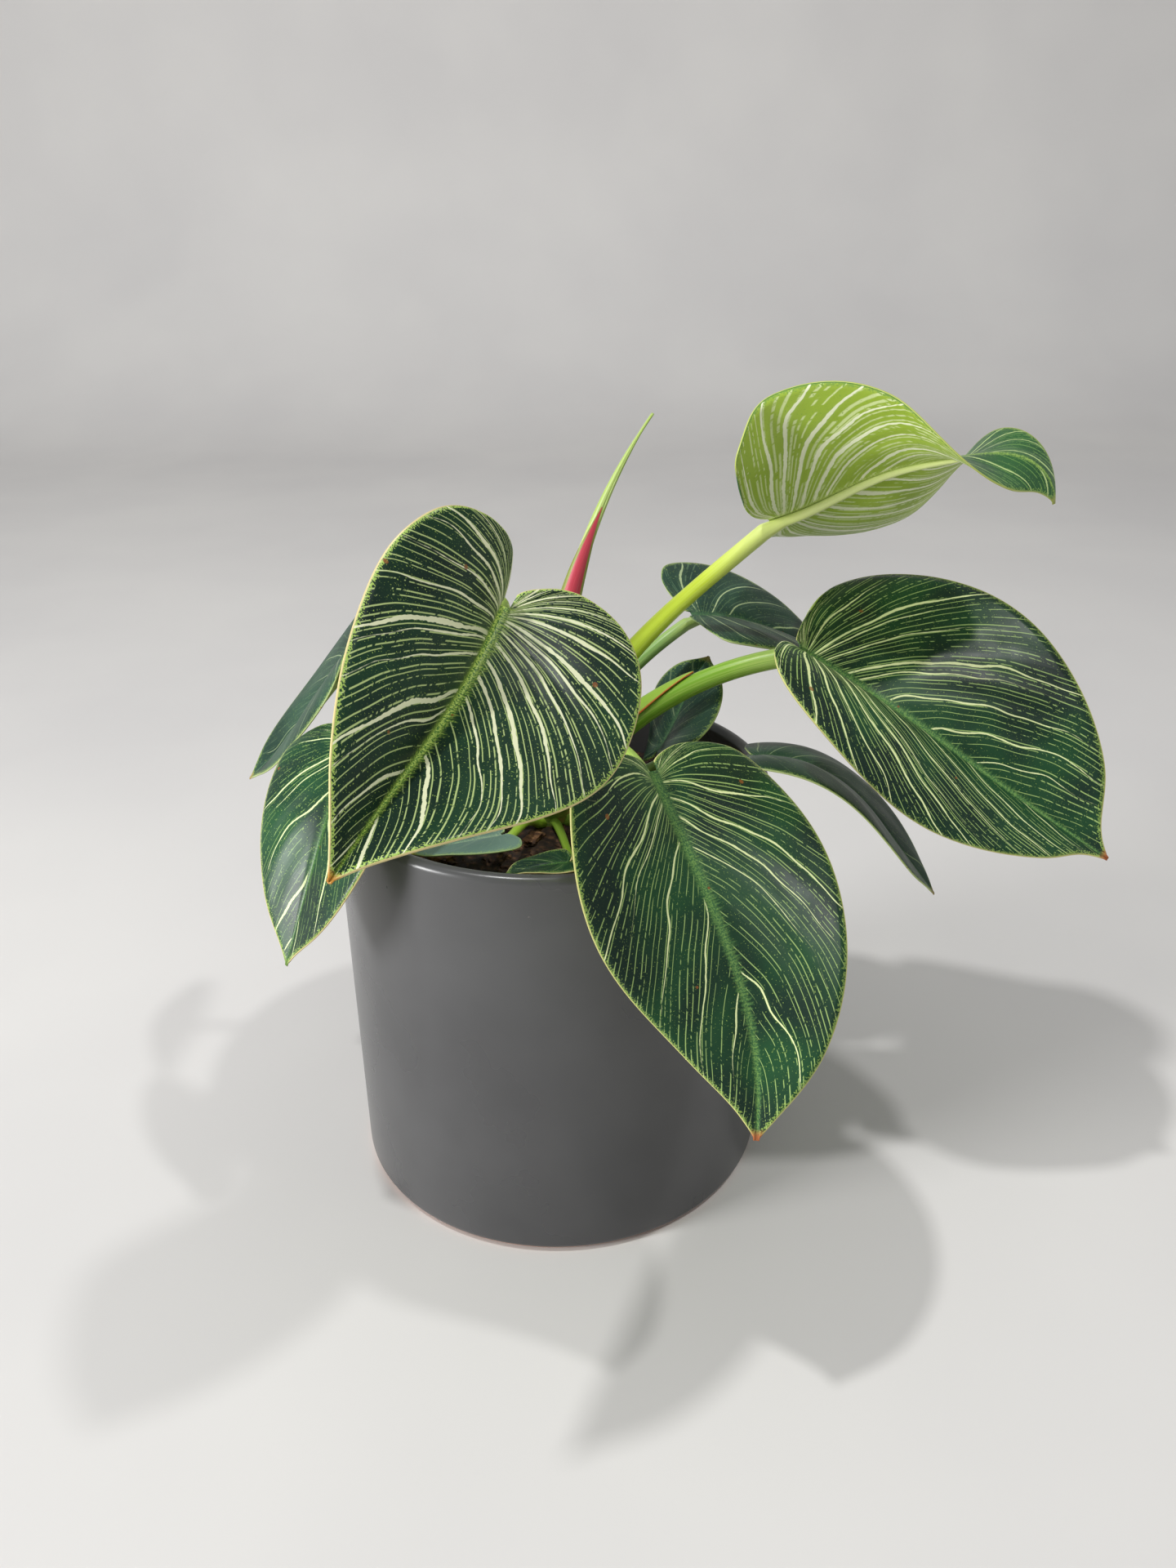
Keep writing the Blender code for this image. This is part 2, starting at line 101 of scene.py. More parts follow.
def feed(tree: bpy.types.NodeTree, node: bpy.types.Node, inputs: dict[int | str, Source]) -> None:
    """Feeds a node's inputs.

    Args:
        tree: the node tree.
        node: the node that is fed.
        inputs: by name or number, a constant, an output, or a node for its first live output.
    """
    for name, value in inputs.items():
        if isinstance(value, bpy.types.Node):
            value = next(output for output in value.outputs if output.enabled)
        if isinstance(value, bpy.types.NodeSocket):
            tree.links.new(value, node.inputs[name])
        else:
            node.inputs[name].default_value = value


def add_node(
    tree: bpy.types.NodeTree,
    kind: str,
    *values: Source,
    inputs: dict[int | str, Source] | None = None,
    stops: Sequence[tuple[float, Colour]] = (),
    **settings: object,
) -> bpy.types.Node:
    """Adds one node with its settings and what feeds it.

    Args:
        tree: the node tree that takes it.
        kind: the node's type name after "ShaderNode", and after a dot its main setting.
        values: what feeds its live inputs, in their order.
        inputs: what feeds further inputs, by name or number.
        stops: places and colours of a colour ramp.
        settings: attributes of the node.

    Returns:
        The new node.
    """
    kind, _, main = kind.partition(".")
    node = tree.nodes.new("ShaderNode" + kind)
    if main:
        settings[MAIN_SETTING[kind]] = main
    for name, value in settings.items():
        setattr(node, name, value)
    live = [index for index, socket in enumerate(node.inputs) if socket.enabled]
    feed(tree, node, dict(zip(live, values)) | (inputs or {}))
    for index, (place, colour) in enumerate(stops):
        ramp = node.color_ramp.elements
        stop = ramp[index] if index < 2 else ramp.new(place)
        stop.position = place
        stop.color = colour
    return node


def new_material(name: str, inputs: dict[str, Source]) -> tuple[bpy.types.NodeTree, bpy.types.Node]:
    """Starts a Principled material.

    Args:
        name: the real material's name.
        inputs: constant values by input name.

    Returns:
        The node tree and its shader.
    """
    material = bpy.data.materials.new(name)
    material.use_nodes = True
    tree = material.node_tree
    shader = tree.nodes["Principled BSDF"]
    feed(tree, shader, inputs)
    return tree, shader


# ---------------------------------------------------------------- meshes


def finish_mesh(bm: bmesh.types.BMesh, name: str, smooth_angle: float = 40.0) -> bpy.types.Object:
    """Makes a named, smooth-shaded object at the origin from a bmesh.

    Args:
        bm: the mesh, in place in the frame; it is freed.
        name: the piece's name.
        smooth_angle: edges sharper than this many degrees stay sharp.

    Returns:
        The new object, linked to the scene.
    """
    mesh = bpy.data.meshes.new(name)
    bm.to_mesh(mesh)
    bm.free()
    mesh.shade_smooth()
    mesh.set_sharp_from_angle(angle=math.radians(smooth_angle))
    piece = bpy.data.objects.new(name, mesh)
    bpy.context.scene.collection.objects.link(piece)
    return piece


def lay_grid(columns: int, rows: int, lay: Callable[[int, int], Laid]) -> bmesh.types.BMesh:
    """Bends a flat grid into a sheet, and keeps what each point knows as attributes.

    Args:
        columns: how many faces wide.
        rows: how many faces long.
        lay: gives the place and the named attributes of a point from its column and row.

    Returns:
        The bent grid.
    """
    bm = bmesh.new()
    layers = {name: bm.verts.layers.float_vector.new(name) for name in lay(0, 0)[1]}
    bmesh.ops.create_grid(bm, x_segments=columns, y_segments=rows, size=1.0)
    for vert in bm.verts:
        column = round((vert.co.x + 1) / 2 * columns)
        row = round((vert.co.y + 1) / 2 * rows)
        place, known = lay(column, row)
        vert.co = place
        for name, value in known.items():
            vert[layers[name]] = value
    return bm


def direction(heading: float, pitch: float) -> Vector:
    """Unit vector for a heading from +X and a pitch above level, in degrees."""
    a, e = math.radians(heading), math.radians(pitch)
    return Vector((math.cos(e) * math.cos(a), math.cos(e) * math.sin(a), math.sin(e)))


def stations(values: Sequence[float], share: float) -> float:
    """Reads a smooth value through evenly spaced stations.

    Args:
        values: two or more stations from share 0 to share 1.
        share: where to read; below 0 the value runs on straight.

    Returns:
        The value there.
    """
    last = len(values) - 1
    padded = [2 * values[0] - values[1], *values, 2 * values[-1] - values[-2]]
    clamped = min(max(share, 0.0), 1.0) * last
    i = min(int(clamped), last - 1)
    f = clamped - i
    a, b, c, d = padded[i : i + 4]
    square, cube = 2 * a - 5 * b + 4 * c - d, 3 * b - a - 3 * c + d
    smooth = 0.5 * (2 * b + (c - a) * f + square * f**2 + cube * f**3)
    return smooth + min(share, 0.0) * last * (values[1] - values[0])


def bezier(handles: Sequence[Vector], steps: int) -> list[Vector]:
    """Points along a cubic curve.

    Args:
        handles: its start, first handle, second handle and end.
        steps: how many stretches.

    Returns:
        One point more than there are stretches.
    """
    start, lead, tail, end = handles
    points = []
    for i in range(steps + 1):
        t = i / steps
        s = 1 - t
        points.append(s**3 * start + 3 * s * s * t * lead + 3 * s * t * t * tail + t**3 * end)
    return points


def tube(
    points: Sequence[Vector], radii: Sequence[float], sides: int, ridges: float = 0.0
) -> bmesh.types.BMesh:
    """A closed round tube whose points carry "stem": share along, and round it.

    Args:
        points: the centre line.
        radii: the radius at each point.
        sides: how many faces round.
        ridges: height of fine ribs along it, as a share of the radius.

    Returns:
        The tube, capped at both ends, with its faces pointing out.
    """
    last = len(points) - 1
    aheads = [(points[min(i + 1, last)] - points[max(i - 1, 0)]).normalized() for i in range(last + 1)]
    sideways = [aheads[0].orthogonal().normalized()]
    for ahead in aheads[1:]:
        sideways.append((sideways[-1] - ahead * sideways[-1].dot(ahead)).normalized())

    def lay(column: int, row: int) -> Laid:
        """Place and attributes of one point of the tube.

        Args:
            column: its column in the grid.
            row: its row in the grid.

        Returns:
            Its place and its attributes.
        """
        angle = math.tau * column / sides
        other = aheads[row].cross(sideways[row])
        around = sideways[row] * math.cos(angle) + other * math.sin(angle)
        ribbed = radii[row] * (1 + ridges * math.cos(7 * angle))
        known = {"stem": Vector((row / last, math.cos(angle), math.sin(angle)))}
        return points[row] + around * ribbed, known

    bm = lay_grid(sides, last, lay)
    bmesh.ops.remove_doubles(bm, verts=bm.verts, dist=0.002 * MM)
    rims = [edge for edge in bm.edges if edge.is_boundary]
    bmesh.ops.holes_fill(bm, edges=rims, sides=0)
    bmesh.ops.recalc_face_normals(bm, faces=bm.faces)
    return bm


def turned(profile: Sequence[Point], sides: int) -> bmesh.types.BMesh:
    """A closed solid turned about the pot's axis.

    Args:
        profile: radius and height points that start and end on the axis.
        sides: how many steps round.

    Returns:
        The solid, with its faces pointing out.
    """
    bm = bmesh.new()
    verts = [bm.verts.new((r, 0, z)) for r, z in profile]
    edges = [bm.edges.new(pair) for pair in zip(verts, verts[1:])]
    bmesh.ops.spin(
        bm, geom=verts + edges, cent=(0, 0, 0), axis=UP, angle=math.tau, steps=sides, use_merge=True
    )
    bmesh.ops.remove_doubles(bm, verts=bm.verts, dist=0.002 * MM)
    bmesh.ops.recalc_face_normals(bm, faces=bm.faces)
    return bm


def arc(centre: Point, radius: float, start: float, end: float, steps: int) -> list[Point]:
    """Points on an arc in the radius and height plane, angles in degrees."""
    angles = [math.radians(start + (end - start) * i / steps) for i in range(steps + 1)]
    return [(centre[0] + radius * math.cos(a), centre[1] + radius * math.sin(a)) for a in angles]


def stand_for(piece: bpy.types.Object, slot: str, *nodes: str) -> None:
    """Lets a piece ride on the plant and stand for its CAD nodes.

    Args:
        piece: the finished piece.
        slot: not used.
        nodes: the CAD nodes that it replaces.
    """
    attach(piece, "root")
    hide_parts(*nodes)
    LOG.info("%s: %d faces", piece.name, len(piece.data.polygons))


# ---------------------------------------------------------------- leaf skins


@dataclass(frozen=True)
class LeafColours:
    """Colours of one side of a living blade, as sRGB hex values."""

    deep: str = "142a20"
    fresh: str = "1a3d26"
    halo: str = "3f6f34"
    pin: str = "c2d68c"
    cream: str = "f0f3c9"
    rib: str = "c0da68"
    rib_dark: str = "4f7f33"
    band: str = "a9c861"
    line: str = "d9c98e"
    tip: str = "c98f3c"
    roughness: float = 0.36
    spots: float = 1.0


@dataclass(frozen=True)
class StripePlan:
    """How a blade is striped: bold stripes and pinstripes in each half, margin to margin."""

    bold: float = 14.0
    pins: float = 66.0
    bold_width: float = 1.5
    pin_width: float = 0.55
    bold_strength: float = 1.0
    pin_strength: float = 0.9
    dash: float = 0.44
    rib: float = 1.0
    band: float = 1.0
    seed: float = 0.0


UPPER = LeafColours()
# Underside colours: paler than the top, and brightened further as painted light shining through the
# backlit blade.
UNDER_WITH_PAINTED_BACKLIGHT = LeafColours(
    deep="98b23e",
    fresh="aac44c",
    halo="b6cc78",
    pin="d2dfa0",
    cream="eef2cf",
    rib="dbe79c",
    rib_dark="bccf74",
    band="7fa045",
    line="4c7a33",
    tip="9a9a50",
    roughness=0.5,
    spots=0.0,
)


class LeafSkin:
    """Living leaf: chlorophyll under a waxy cuticle, so deep green with a soft satin sheen.

    The cream stripes are bands of tissue without chlorophyll that follow the side veins.
    Attribute "vein" holds the place across a half (-1 to 1), the share from base to tip of
    the vein, and the distance from the midrib in midrib widths. "blade" holds the flat
    place across and along and the distance to the margin, all in millimetres.
    """

    seed_step = 13.7
    drift_scale = 0.035
    off_rib = (0.95, 1.25)
    crowd_pace = 150.0
    crowd_most = 1.1
    halo_reach = (0.4, 2.6)
    band_reach = (0.2, 3.4)
    line_reach = (0.20, 0.60)
    tip_reach = (1.0, 4.0)
    blemish = "8a5428"
    blemish_scale = 0.055
    vein_lines = 170.0

    def __init__(self, name: str, colours: LeafColours, plan: StripePlan) -> None:
        """Starts the material and takes apart the attributes that the blade carries.

        Args:
            name: the material's name.
            colours: its palette.
            plan: its stripes.
        """
        self.name = name
        self.colours = colours
        self.plan = plan
        wax = {"IOR": 1.45, "Specular IOR Level": 0.30, "Coat Weight": 0.03, "Coat Roughness": 0.30}
        self.tree, self.shader = new_material(name, wax)
        self.node = node = partial(add_node, self.tree)
        parts = {}
        for attribute in ("vein", "blade", "pace"):
            known = node("Attribute", attribute_name=attribute, attribute_type="GEOMETRY")
            parts[attribute] = node("SeparateXYZ", known.outputs["Vector"]).outputs
        self.across, self.share, self.rib = parts["vein"]
        across, along, self.margin = parts["blade"]
        self.pace, self.tip, _ = parts["pace"]
        self.out = node("Math.ABSOLUTE", self.across)
        self.half = node("Math.SIGN", self.across)
        self.flat = node("CombineXYZ", across, along, plan.seed * self.seed_step)
        self.drift = node("TexNoise", self.flat, self.drift_scale, 1.0)
        self.clear = node("MapRange.SMOOTHSTEP", self.rib, *self.off_rib)
        # Lines narrow where the veins crowd, at the base and by the midrib.
        crowd = node("Math.DIVIDE", self.pace, self.crowd_pace)
        self.crowd = node("Math.MINIMUM", node("Math.POWER", crowd, 0.7), self.crowd_most)

    def lines(self, count: float, start: float, wander: float) -> tuple[Source, Source]:
        """Lines that follow the veins.

        Args:
            count: how many in each half.
            start: shifts them, so that no two sets match.
            wander: how far they drift, in spacings.

        Returns:
            Distance from the nearest line in millimetres, and a random value of that line.
        """
        node = self.node
        drift = node("Math.MULTIPLY", node("Math.SUBTRACT", self.drift, 0.5), wander)
        place = node("Math.MULTIPLY", self.share, count)
        place = node("Math.ADD", place, node("Math.MULTIPLY", self.half, 3.7 + start))
        place = node("Math.ADD", place, node("Math.ADD", drift, start * 7.1 + 40))
        cells = node("TexVoronoi.1D", inputs={"W": place, "Scale": 1.0, "Randomness": 0.7})
        number = node("SeparateXYZ", cells.outputs["Color"])
        spacing = node("Math.DIVIDE", self.pace, count)
        return node("Math.MULTIPLY", cells.outputs["Distance"], spacing), number

    def bold(self) -> tuple[Source, Source]:
        """Cream stripes, widest by the midrib and ragged.

        Returns:
            Where the stripes are, and where their soft halo is.
        """
        plan, node = self.plan, self.node
        away, number = self.lines(plan.bold, plan.seed, 0.9)
        ends = node("Math.MULTIPLY_ADD", number, 0.45, 0.78)
        fade = node("MapRange.SMOOTHSTEP", self.out, node("Math.SUBTRACT", ends, 0.6), ends)
        fade = node("Math.SUBTRACT", 1.0, fade)
        size = node("Math.MULTIPLY_ADD", number, 0.6, 0.55)
        size = node("Math.MULTIPLY", size, node("Math.MULTIPLY_ADD", fade, 0.8, 0.2))
        size = node("Math.MULTIPLY", size, self.crowd)
        out, other = node("Math.MULTIPLY", self.out, 30.0), node("Math.MULTIPLY", number, 40.0)
        place = node("CombineXYZ", out, other, self.share)
        torn = node("Math.MULTIPLY_ADD", node("TexNoise", place, 1.0, 3.0), 1.7, 0.15)
        width = node("Math.MULTIPLY", node("Math.MULTIPLY", size, torn), plan.bold_width)
        inner = node("Math.MULTIPLY_ADD", width, 0.5, -0.05)
        outer = node("Math.MULTIPLY_ADD", width, 0.5, 0.18)
        mask = node("Math.SUBTRACT", 1.0, node("MapRange.SMOOTHSTEP", away, inner, outer))
        mask = node("Math.MULTIPLY", mask, node("MapRange.SMOOTHSTEP", width, 0.1, 0.35))
        glow = node("Math.SUBTRACT", 1.0, node("MapRange.SMOOTHSTEP", away, *self.halo_reach))
        glow = node("Math.MULTIPLY", glow, node("Math.MULTIPLY", fade, number))
        strength = node("Math.MULTIPLY", self.clear, plan.bold_strength)
        return node("Math.MULTIPLY", mask, strength), glow

    def pins(self) -> Source:
        """Fine lines between the stripes: whole by the midrib, dotted towards the margin.

        Returns:
            Where the lines are.
        """
        plan, node = self.plan, self.node
        away, number = self.lines(plan.pins, plan.seed + 5.3, 1.6)
        other = node("Math.MULTIPLY", number, 60.0)
        place = node("CombineXYZ", node("Math.MULTIPLY", self.out, 5.0), other, plan.seed)
        slow = node("TexNoise", place, 1.0, 2.0)
        place = node("CombineXYZ", node("Math.MULTIPLY", self.out, 34.0), other, plan.seed)
        quick = node("TexNoise", place, 1.0, 2.0)
        quick = node("Math.MULTIPLY", node("Math.SUBTRACT", quick, 0.5), self.out)
        broken = node("Math.MULTIPLY_ADD", quick, 1.1, slow)
        there = node("MapRange.SMOOTHSTEP", broken, plan.dash, plan.dash + 0.07)
        wide = node("Math.MULTIPLY_ADD", number, 0.8, 0.6)
        wide = node("Math.MULTIPLY", node("Math.MULTIPLY", wide, self.crowd), plan.pin_width * 0.5)
        inner = node("Math.MULTIPLY", wide, 0.5)
        outer = node("Math.ADD", wide, 0.1)
        line = node("Math.SUBTRACT", 1.0, node("MapRange.SMOOTHSTEP", away, inner, outer))
        there = node("Math.MULTIPLY", there, self.clear)
        return node("Math.MULTIPLY", node("Math.MULTIPLY", line, there), plan.pin_strength)

    def midrib(self, fleck: Source) -> Source:
        """The fuzzy pale band over the midrib, feathered along the side veins.

        Args:
            fleck: fine noise over the blade.

        Returns:
            Where the band is.
        """
        node = self.node
        along, across = node("Math.MULTIPLY", self.tip, 1.3), node("Math.MULTIPLY", self.across, 7.0)
        place = node("CombineXYZ", along, across)
        feather = node("TexNoise", place, 1.0, 2.0)
        ragged = node("Math.ADD", node("Math.MULTIPLY", feather, 4.0), node("Math.MULTIPLY", fleck, 1.6))
        ragged = node("Math.ADD", self.rib, node("Math.SUBTRACT", ragged, 2.5))
        band = node("Math.SUBTRACT", 1.0, node("MapRange.SMOOTHSTEP", ragged, 0.5, 2.2))
        return node("Math.MULTIPLY", band, self.plan.rib)

    def paint(self, bold: Source, glow: Source, pins: Source) -> Source:
        """Lays the colours over each other, ground first and blemishes last.

        Args:
            bold: where the cream stripes are.
            glow: the halo round them.
            pins: where the fine lines are.

        Returns:
            The skin's colour.
        """
        tone, node = self.colours, self.node
        fleck = node("TexNoise", self.flat, 1.6, 2.0)
        share = node("MapRange.SMOOTHSTEP", self.drift, 0.3, 0.7)
        colour = node("Mix.RGBA", share, linear(tone.deep), linear(tone.fresh))
        colour = node("Mix.RGBA", node("Math.MULTIPLY", glow, 0.35), colour, linear(tone.halo))
        colour = node("Mix.RGBA", pins, colour, linear(tone.pin))
        edge = node("Math.SUBTRACT", 1.0, node("MapRange.SMOOTHSTEP", self.margin, *self.band_reach))
        freckle = node("MapRange.SMOOTHSTEP", node("Math.MULTIPLY_ADD", edge, 0.26, fleck), 0.64, 0.72)
        band = node("Math.MULTIPLY", freckle, self.plan.band)
        colour = node("Mix.RGBA", band, colour, linear(tone.band))
        colour = node("Mix.RGBA", bold, colour, linear(tone.cream))
        share = node("MapRange.SMOOTHSTEP", fleck, 0.4, 0.58)
        rib_tone = node("Mix.RGBA", share, linear(tone.rib_dark), linear(tone.rib))
        colour = node("Mix.RGBA", self.midrib(fleck), colour, rib_tone)
        line = node("Math.SUBTRACT", 1.0, node("MapRange.SMOOTHSTEP", self.margin, *self.line_reach))
        colour = node("Mix.RGBA", line, colour, linear(tone.line))
        near_tip = node("Math.SUBTRACT", 1.0, node("MapRange.SMOOTHSTEP", self.tip, *self.tip_reach))
        colour = node("Mix.RGBA", near_tip, colour, linear(tone.tip))
        cells = node("TexVoronoi.2D", self.flat, self.blemish_scale)
        rare = node("SeparateXYZ", cells.outputs["Color"])
        size = node("Math.MULTIPLY", node("MapRange.SMOOTHSTEP", rare, 0.8, 1.0), 0.05 * tone.spots)
        brown = node("Math.LESS_THAN", cells.outputs["Distance"], size)
        return node("Mix.RGBA", node("Math.MULTIPLY", brown, 0.8), colour, linear(self.blemish))

    def build(self) -> bpy.types.Material:
        """Makes the material: colour, satin sheen and fine raised veins.

        Returns:
            The material.
        """
        node = self.node
        bold, glow = self.bold()
        colour = self.paint(bold, glow, self.pins())
        cloud = node("TexNoise", self.flat, 0.11, 3.0)
        rough = node("Math.MULTIPLY_ADD", cloud, 0.22, self.colours.roughness - 0.11)
        # Side veins stand about 0.7 mm apart and 0.05 mm proud.
        along = node("Math.MULTIPLY", self.share, self.vein_lines)
        place = node("CombineXYZ", along, node("Math.MULTIPLY", self.out, 3.0))
        fine = node("TexNoise", place, 1.0, 2.0)
        height = node("Math.MULTIPLY_ADD", bold, 0.5, fine)
        bump = node("Bump", inputs={"Height": height, "Strength": 0.35, "Distance": 0.12 * MM})
        feed(self.tree, self.shader, {"Base Color": colour, "Roughness": rough, "Normal": bump})
        return bpy.data.materials[self.name]


# ---------------------------------------------------------------- leaf shapes


@dataclass(frozen=True)
class BladeForm:
    """Where one blade sits and how it bends, as in its CAD solid: millimetres and degrees.

    Pairs hold the left half, then the right half. Longer tuples are stations down the midrib.
    """

    name: str
    around: float
    past_rim: float
    above_soil: float
    length: float
    half_width: Point
    heading: tuple[float, ...]
    pitch: tuple[float, ...]
    roll: tuple[float, ...]
    fold: Point
    curl: Point
    lobe: Point
    broad: float
    plan: StripePlan = field(default_factory=StripePlan)
    upper: LeafColours = UPPER
    under: LeafColours = UNDER_WITH_PAINTED_BACKLIGHT


@dataclass(frozen=True)
class StalkForm:
    """How one leaf stalk runs from the stem to its blade: degrees and millimetres."""

    leaf: str
    side: float
    height: float
    rise: float
    lead: float
    arrive_heading: float
    arrive_pitch: float
    tail: float
    foot: float
    neck: float
    low_tone: str = "7fa63c"
    high_tone: str = "8fb82e"
    keel_tone: str = "a3b96a"


@dataclass
class Frame:
    """One station down a midrib: its share, place and three directions."""

    share: float
    point: Vector
    along: Vector
    across: Vector
    normal: Vector


@dataclass(frozen=True)
class PotSizes:
    """Driving sizes of the pot, mix and stem, in metres."""

    radius: float = 90 * MM
    height: float = 177 * MM
    wall: float = 6 * MM
    floor: float = 9 * MM
    foot_fillet: float = 4 * MM
    soil_top: float = 155 * MM
    soil_crown: float = 3 * MM
    stem_radius: float = 8 * MM
    stem_top: float = 200 * MM
    gap: float = 0.3 * MM


POT = PotSizes()


class Blade:
    """A heart-shaped blade: rows follow the side veins, with relief over each of them."""

    midrib_share = 0.055
    basal_spread = 6 * MM
    vein_sweep = 5.5
    vein_bulge = 0.17
    thickness = 0.6 * MM
    first = 0.03
    pace_step = 0.004
    quilt_depth = 0.16 * MM
    groove_depth = 0.35 * MM
    edge_drop = 0.25 * MM
    wave_mm = 1.5

    def __init__(self, form: BladeForm, rows: int = 120, columns: int = 18) -> None:
        """Works out the margin and the midrib.

        Args:
            form: where the blade sits and how it bends.
            rows: faces from base to tip.
            columns: faces from midrib to margin.
        """
        self.form = form
        self.rows = rows
        self.columns = columns
        self.frames = self.spine()
        self.edges = [self.margin(lobe) for lobe in form.lobe]

    def margin(self, lobe: float, steps: int = 400) -> list[Vector]:
        """Points of one half's outline, evenly by length.

        Args:
            lobe: how far the lobe reaches behind the base, as a share of the length.
            steps: how many stretches.

        Returns:
            Points as shares of half width and of length, from base to tip.
        """
        broad = self.form.broad
        line = [
            (0.0, 0.0), (0.13, -0.62 * lobe), (0.40, -lobe), (0.74, -0.70 * lobe),
            (0.95, 0.02 + broad / 2), (1.0, 0.20 + broad), (0.93, 0.40 + broad),
            (0.73, 0.61 + 0.8 * broad), (0.44, 0.80 + broad / 2), (0.13, 0.94), (0.0, 1.0),
        ]  # fmt: skip
        xs, ys = zip(*line)
        dense = [Vector((max(stations(xs, i / 600), 0.0), stations(ys, i / 600))) for i in range(601)]
        lengths = [0.0]
        for a, b in zip(dense, dense[1:]):
            lengths.append(lengths[-1] + (b - a).length)
        found, i = [], 0
        for k in range(steps + 1):
            goal = lengths[-1] * k / steps
            while i < 599 and lengths[i + 1] < goal:
                i += 1
            part = (goal - lengths[i]) / (lengths[i + 1] - lengths[i])
            found.append(dense[i].lerp(dense[i + 1], part))
        return found

    def spine(self, steps: int = 270, back: float = 0.35) -> list[Frame]:
        """Frames down the midrib, from behind the base to the tip.

        Args:
            steps: how many stretches.
            back: how far behind the base it starts, as a share of the length.

        Returns:
            The frames in order.
        """
        form = self.form
        step = (1 + back) / steps
        frames: list[Frame] = []
        point = Vector((0, 0, 0))
        base = Vector((0, 0, 0))
        for i in range(steps + 1):
            share = -back + step * i
            heading, pitch = stations(form.heading, share), stations(form.pitch, share)
            along, rise = direction(heading, pitch), direction(heading, pitch + 90)
            turn = Matrix.Rotation(math.radians(stations(form.roll, share)), 3, along)
            if frames:
                point = point + (frames[-1].along + along) * (step * form.length * MM / 2)
            if share < 1e-9:
                base = point.copy()
            frames.append(Frame(share, point, along, turn @ along.cross(rise), turn @ rise))
        reach = POT.radius + form.past_rim * MM
        target = direction(form.around, 0) * reach + UP * (POT.soil_top + form.above_soil * MM)
        for one in frames:
            one.point = one.point + target - base
        return frames

    def at(self, share: float) -> Frame:
        """The frame at a share of the length, between two stations.

        Args:
            share: where to read, from 0 at the base to 1 at the tip.

        Returns:
            The frame there.
        """
        spot = (share - self.frames[0].share) / (self.frames[1].share - self.frames[0].share)
        i = min(max(int(spot), 0), len(self.frames) - 2)
        f, a, b = spot - i, self.frames[i], self.frames[i + 1]
        return Frame(
            share, a.point.lerp(b.point, f), a.along.lerp(b.along, f), a.across.lerp(b.across, f),
            a.normal.lerp(b.normal, f),
        )  # fmt: skip

    def rib_width(self, along: float) -> float:
        """Half the midrib's width at a distance from the base."""
        taper = 1 - 0.8 * along / (self.form.length * MM)
        return self.midrib_share * min(self.form.half_width) * MM * taper

    def vein(self, half: int, share: float) -> tuple[Vector, Vector, Vector]:
        """One side vein on the flat blade.

        Args:
            half: 0 for the left half and 1 for the right one.
            share: which vein, from base to tip.

        Returns:
            Its start at the midrib, its handle and its end at the margin.
        """
        length, width = self.form.length * MM, self.form.half_width[half] * MM
        base = min(self.basal_spread, 0.12 * length)
        along = base * share + (length - base) * share**self.vein_sweep
        line = self.edges[half]
        spot = share * (len(line) - 1)
        i = min(int(spot), len(line) - 2)
        edge = line[i].lerp(line[i + 1], spot - i)
        start = Vector((self.rib_width(along), along))
        end = Vector((max(edge.x * width, start.x * 1.2), edge.y * length))
        chord = end - start
        fade = min(1.0, 4 * share) * min(1.0, 8 * (1 - share))
        handle = (start + end) / 2 + Vector((chord.y, -chord.x)) * self.vein_bulge * fade
        return start, handle, end

    def on_vein(self, half: int, share: float, out: float) -> Vector:
        """A flat point on a side vein, from 0 at the midrib to 1 at the margin."""
        start, handle, end = self.vein(half, share)
        return (1 - out) ** 2 * start + 2 * out * (1 - out) * handle + out * out * end

    def relief(self, half: int, share: float, out: float) -> float:
        """Height over the plain blade: sunken midrib and veins, and a slight wave of the margin.

        Args:
            half: 0 for the left half and 1 for the right one.
            share: which vein, from base to tip.
            out: the place along the vein, or below 0 on the midrib.

        Returns:
            The height in metres.
        """
        seed = self.form.plan.seed + 3.1 * half
        quilt = math.cos(math.tau * share * self.form.plan.bold * 0.9 + seed)
        quilt *= self.quilt_depth * math.sin(math.pi * min(max(out, 0.0), 1.0)) ** 0.7
        wave = noise.noise(Vector((share * 4.5, seed, 0.3))) * self.wave_mm * MM * max(out, 0.0) ** 2
        groove = -self.groove_depth * math.exp(-((max(out, 0.0) / 0.05) ** 2))
        edge = -self.edge_drop * max(out - 0.93, 0.0) / 0.07
        calm = min(1.0, (1 - share) * 9)
        return (quilt + wave) * calm + groove * calm + edge

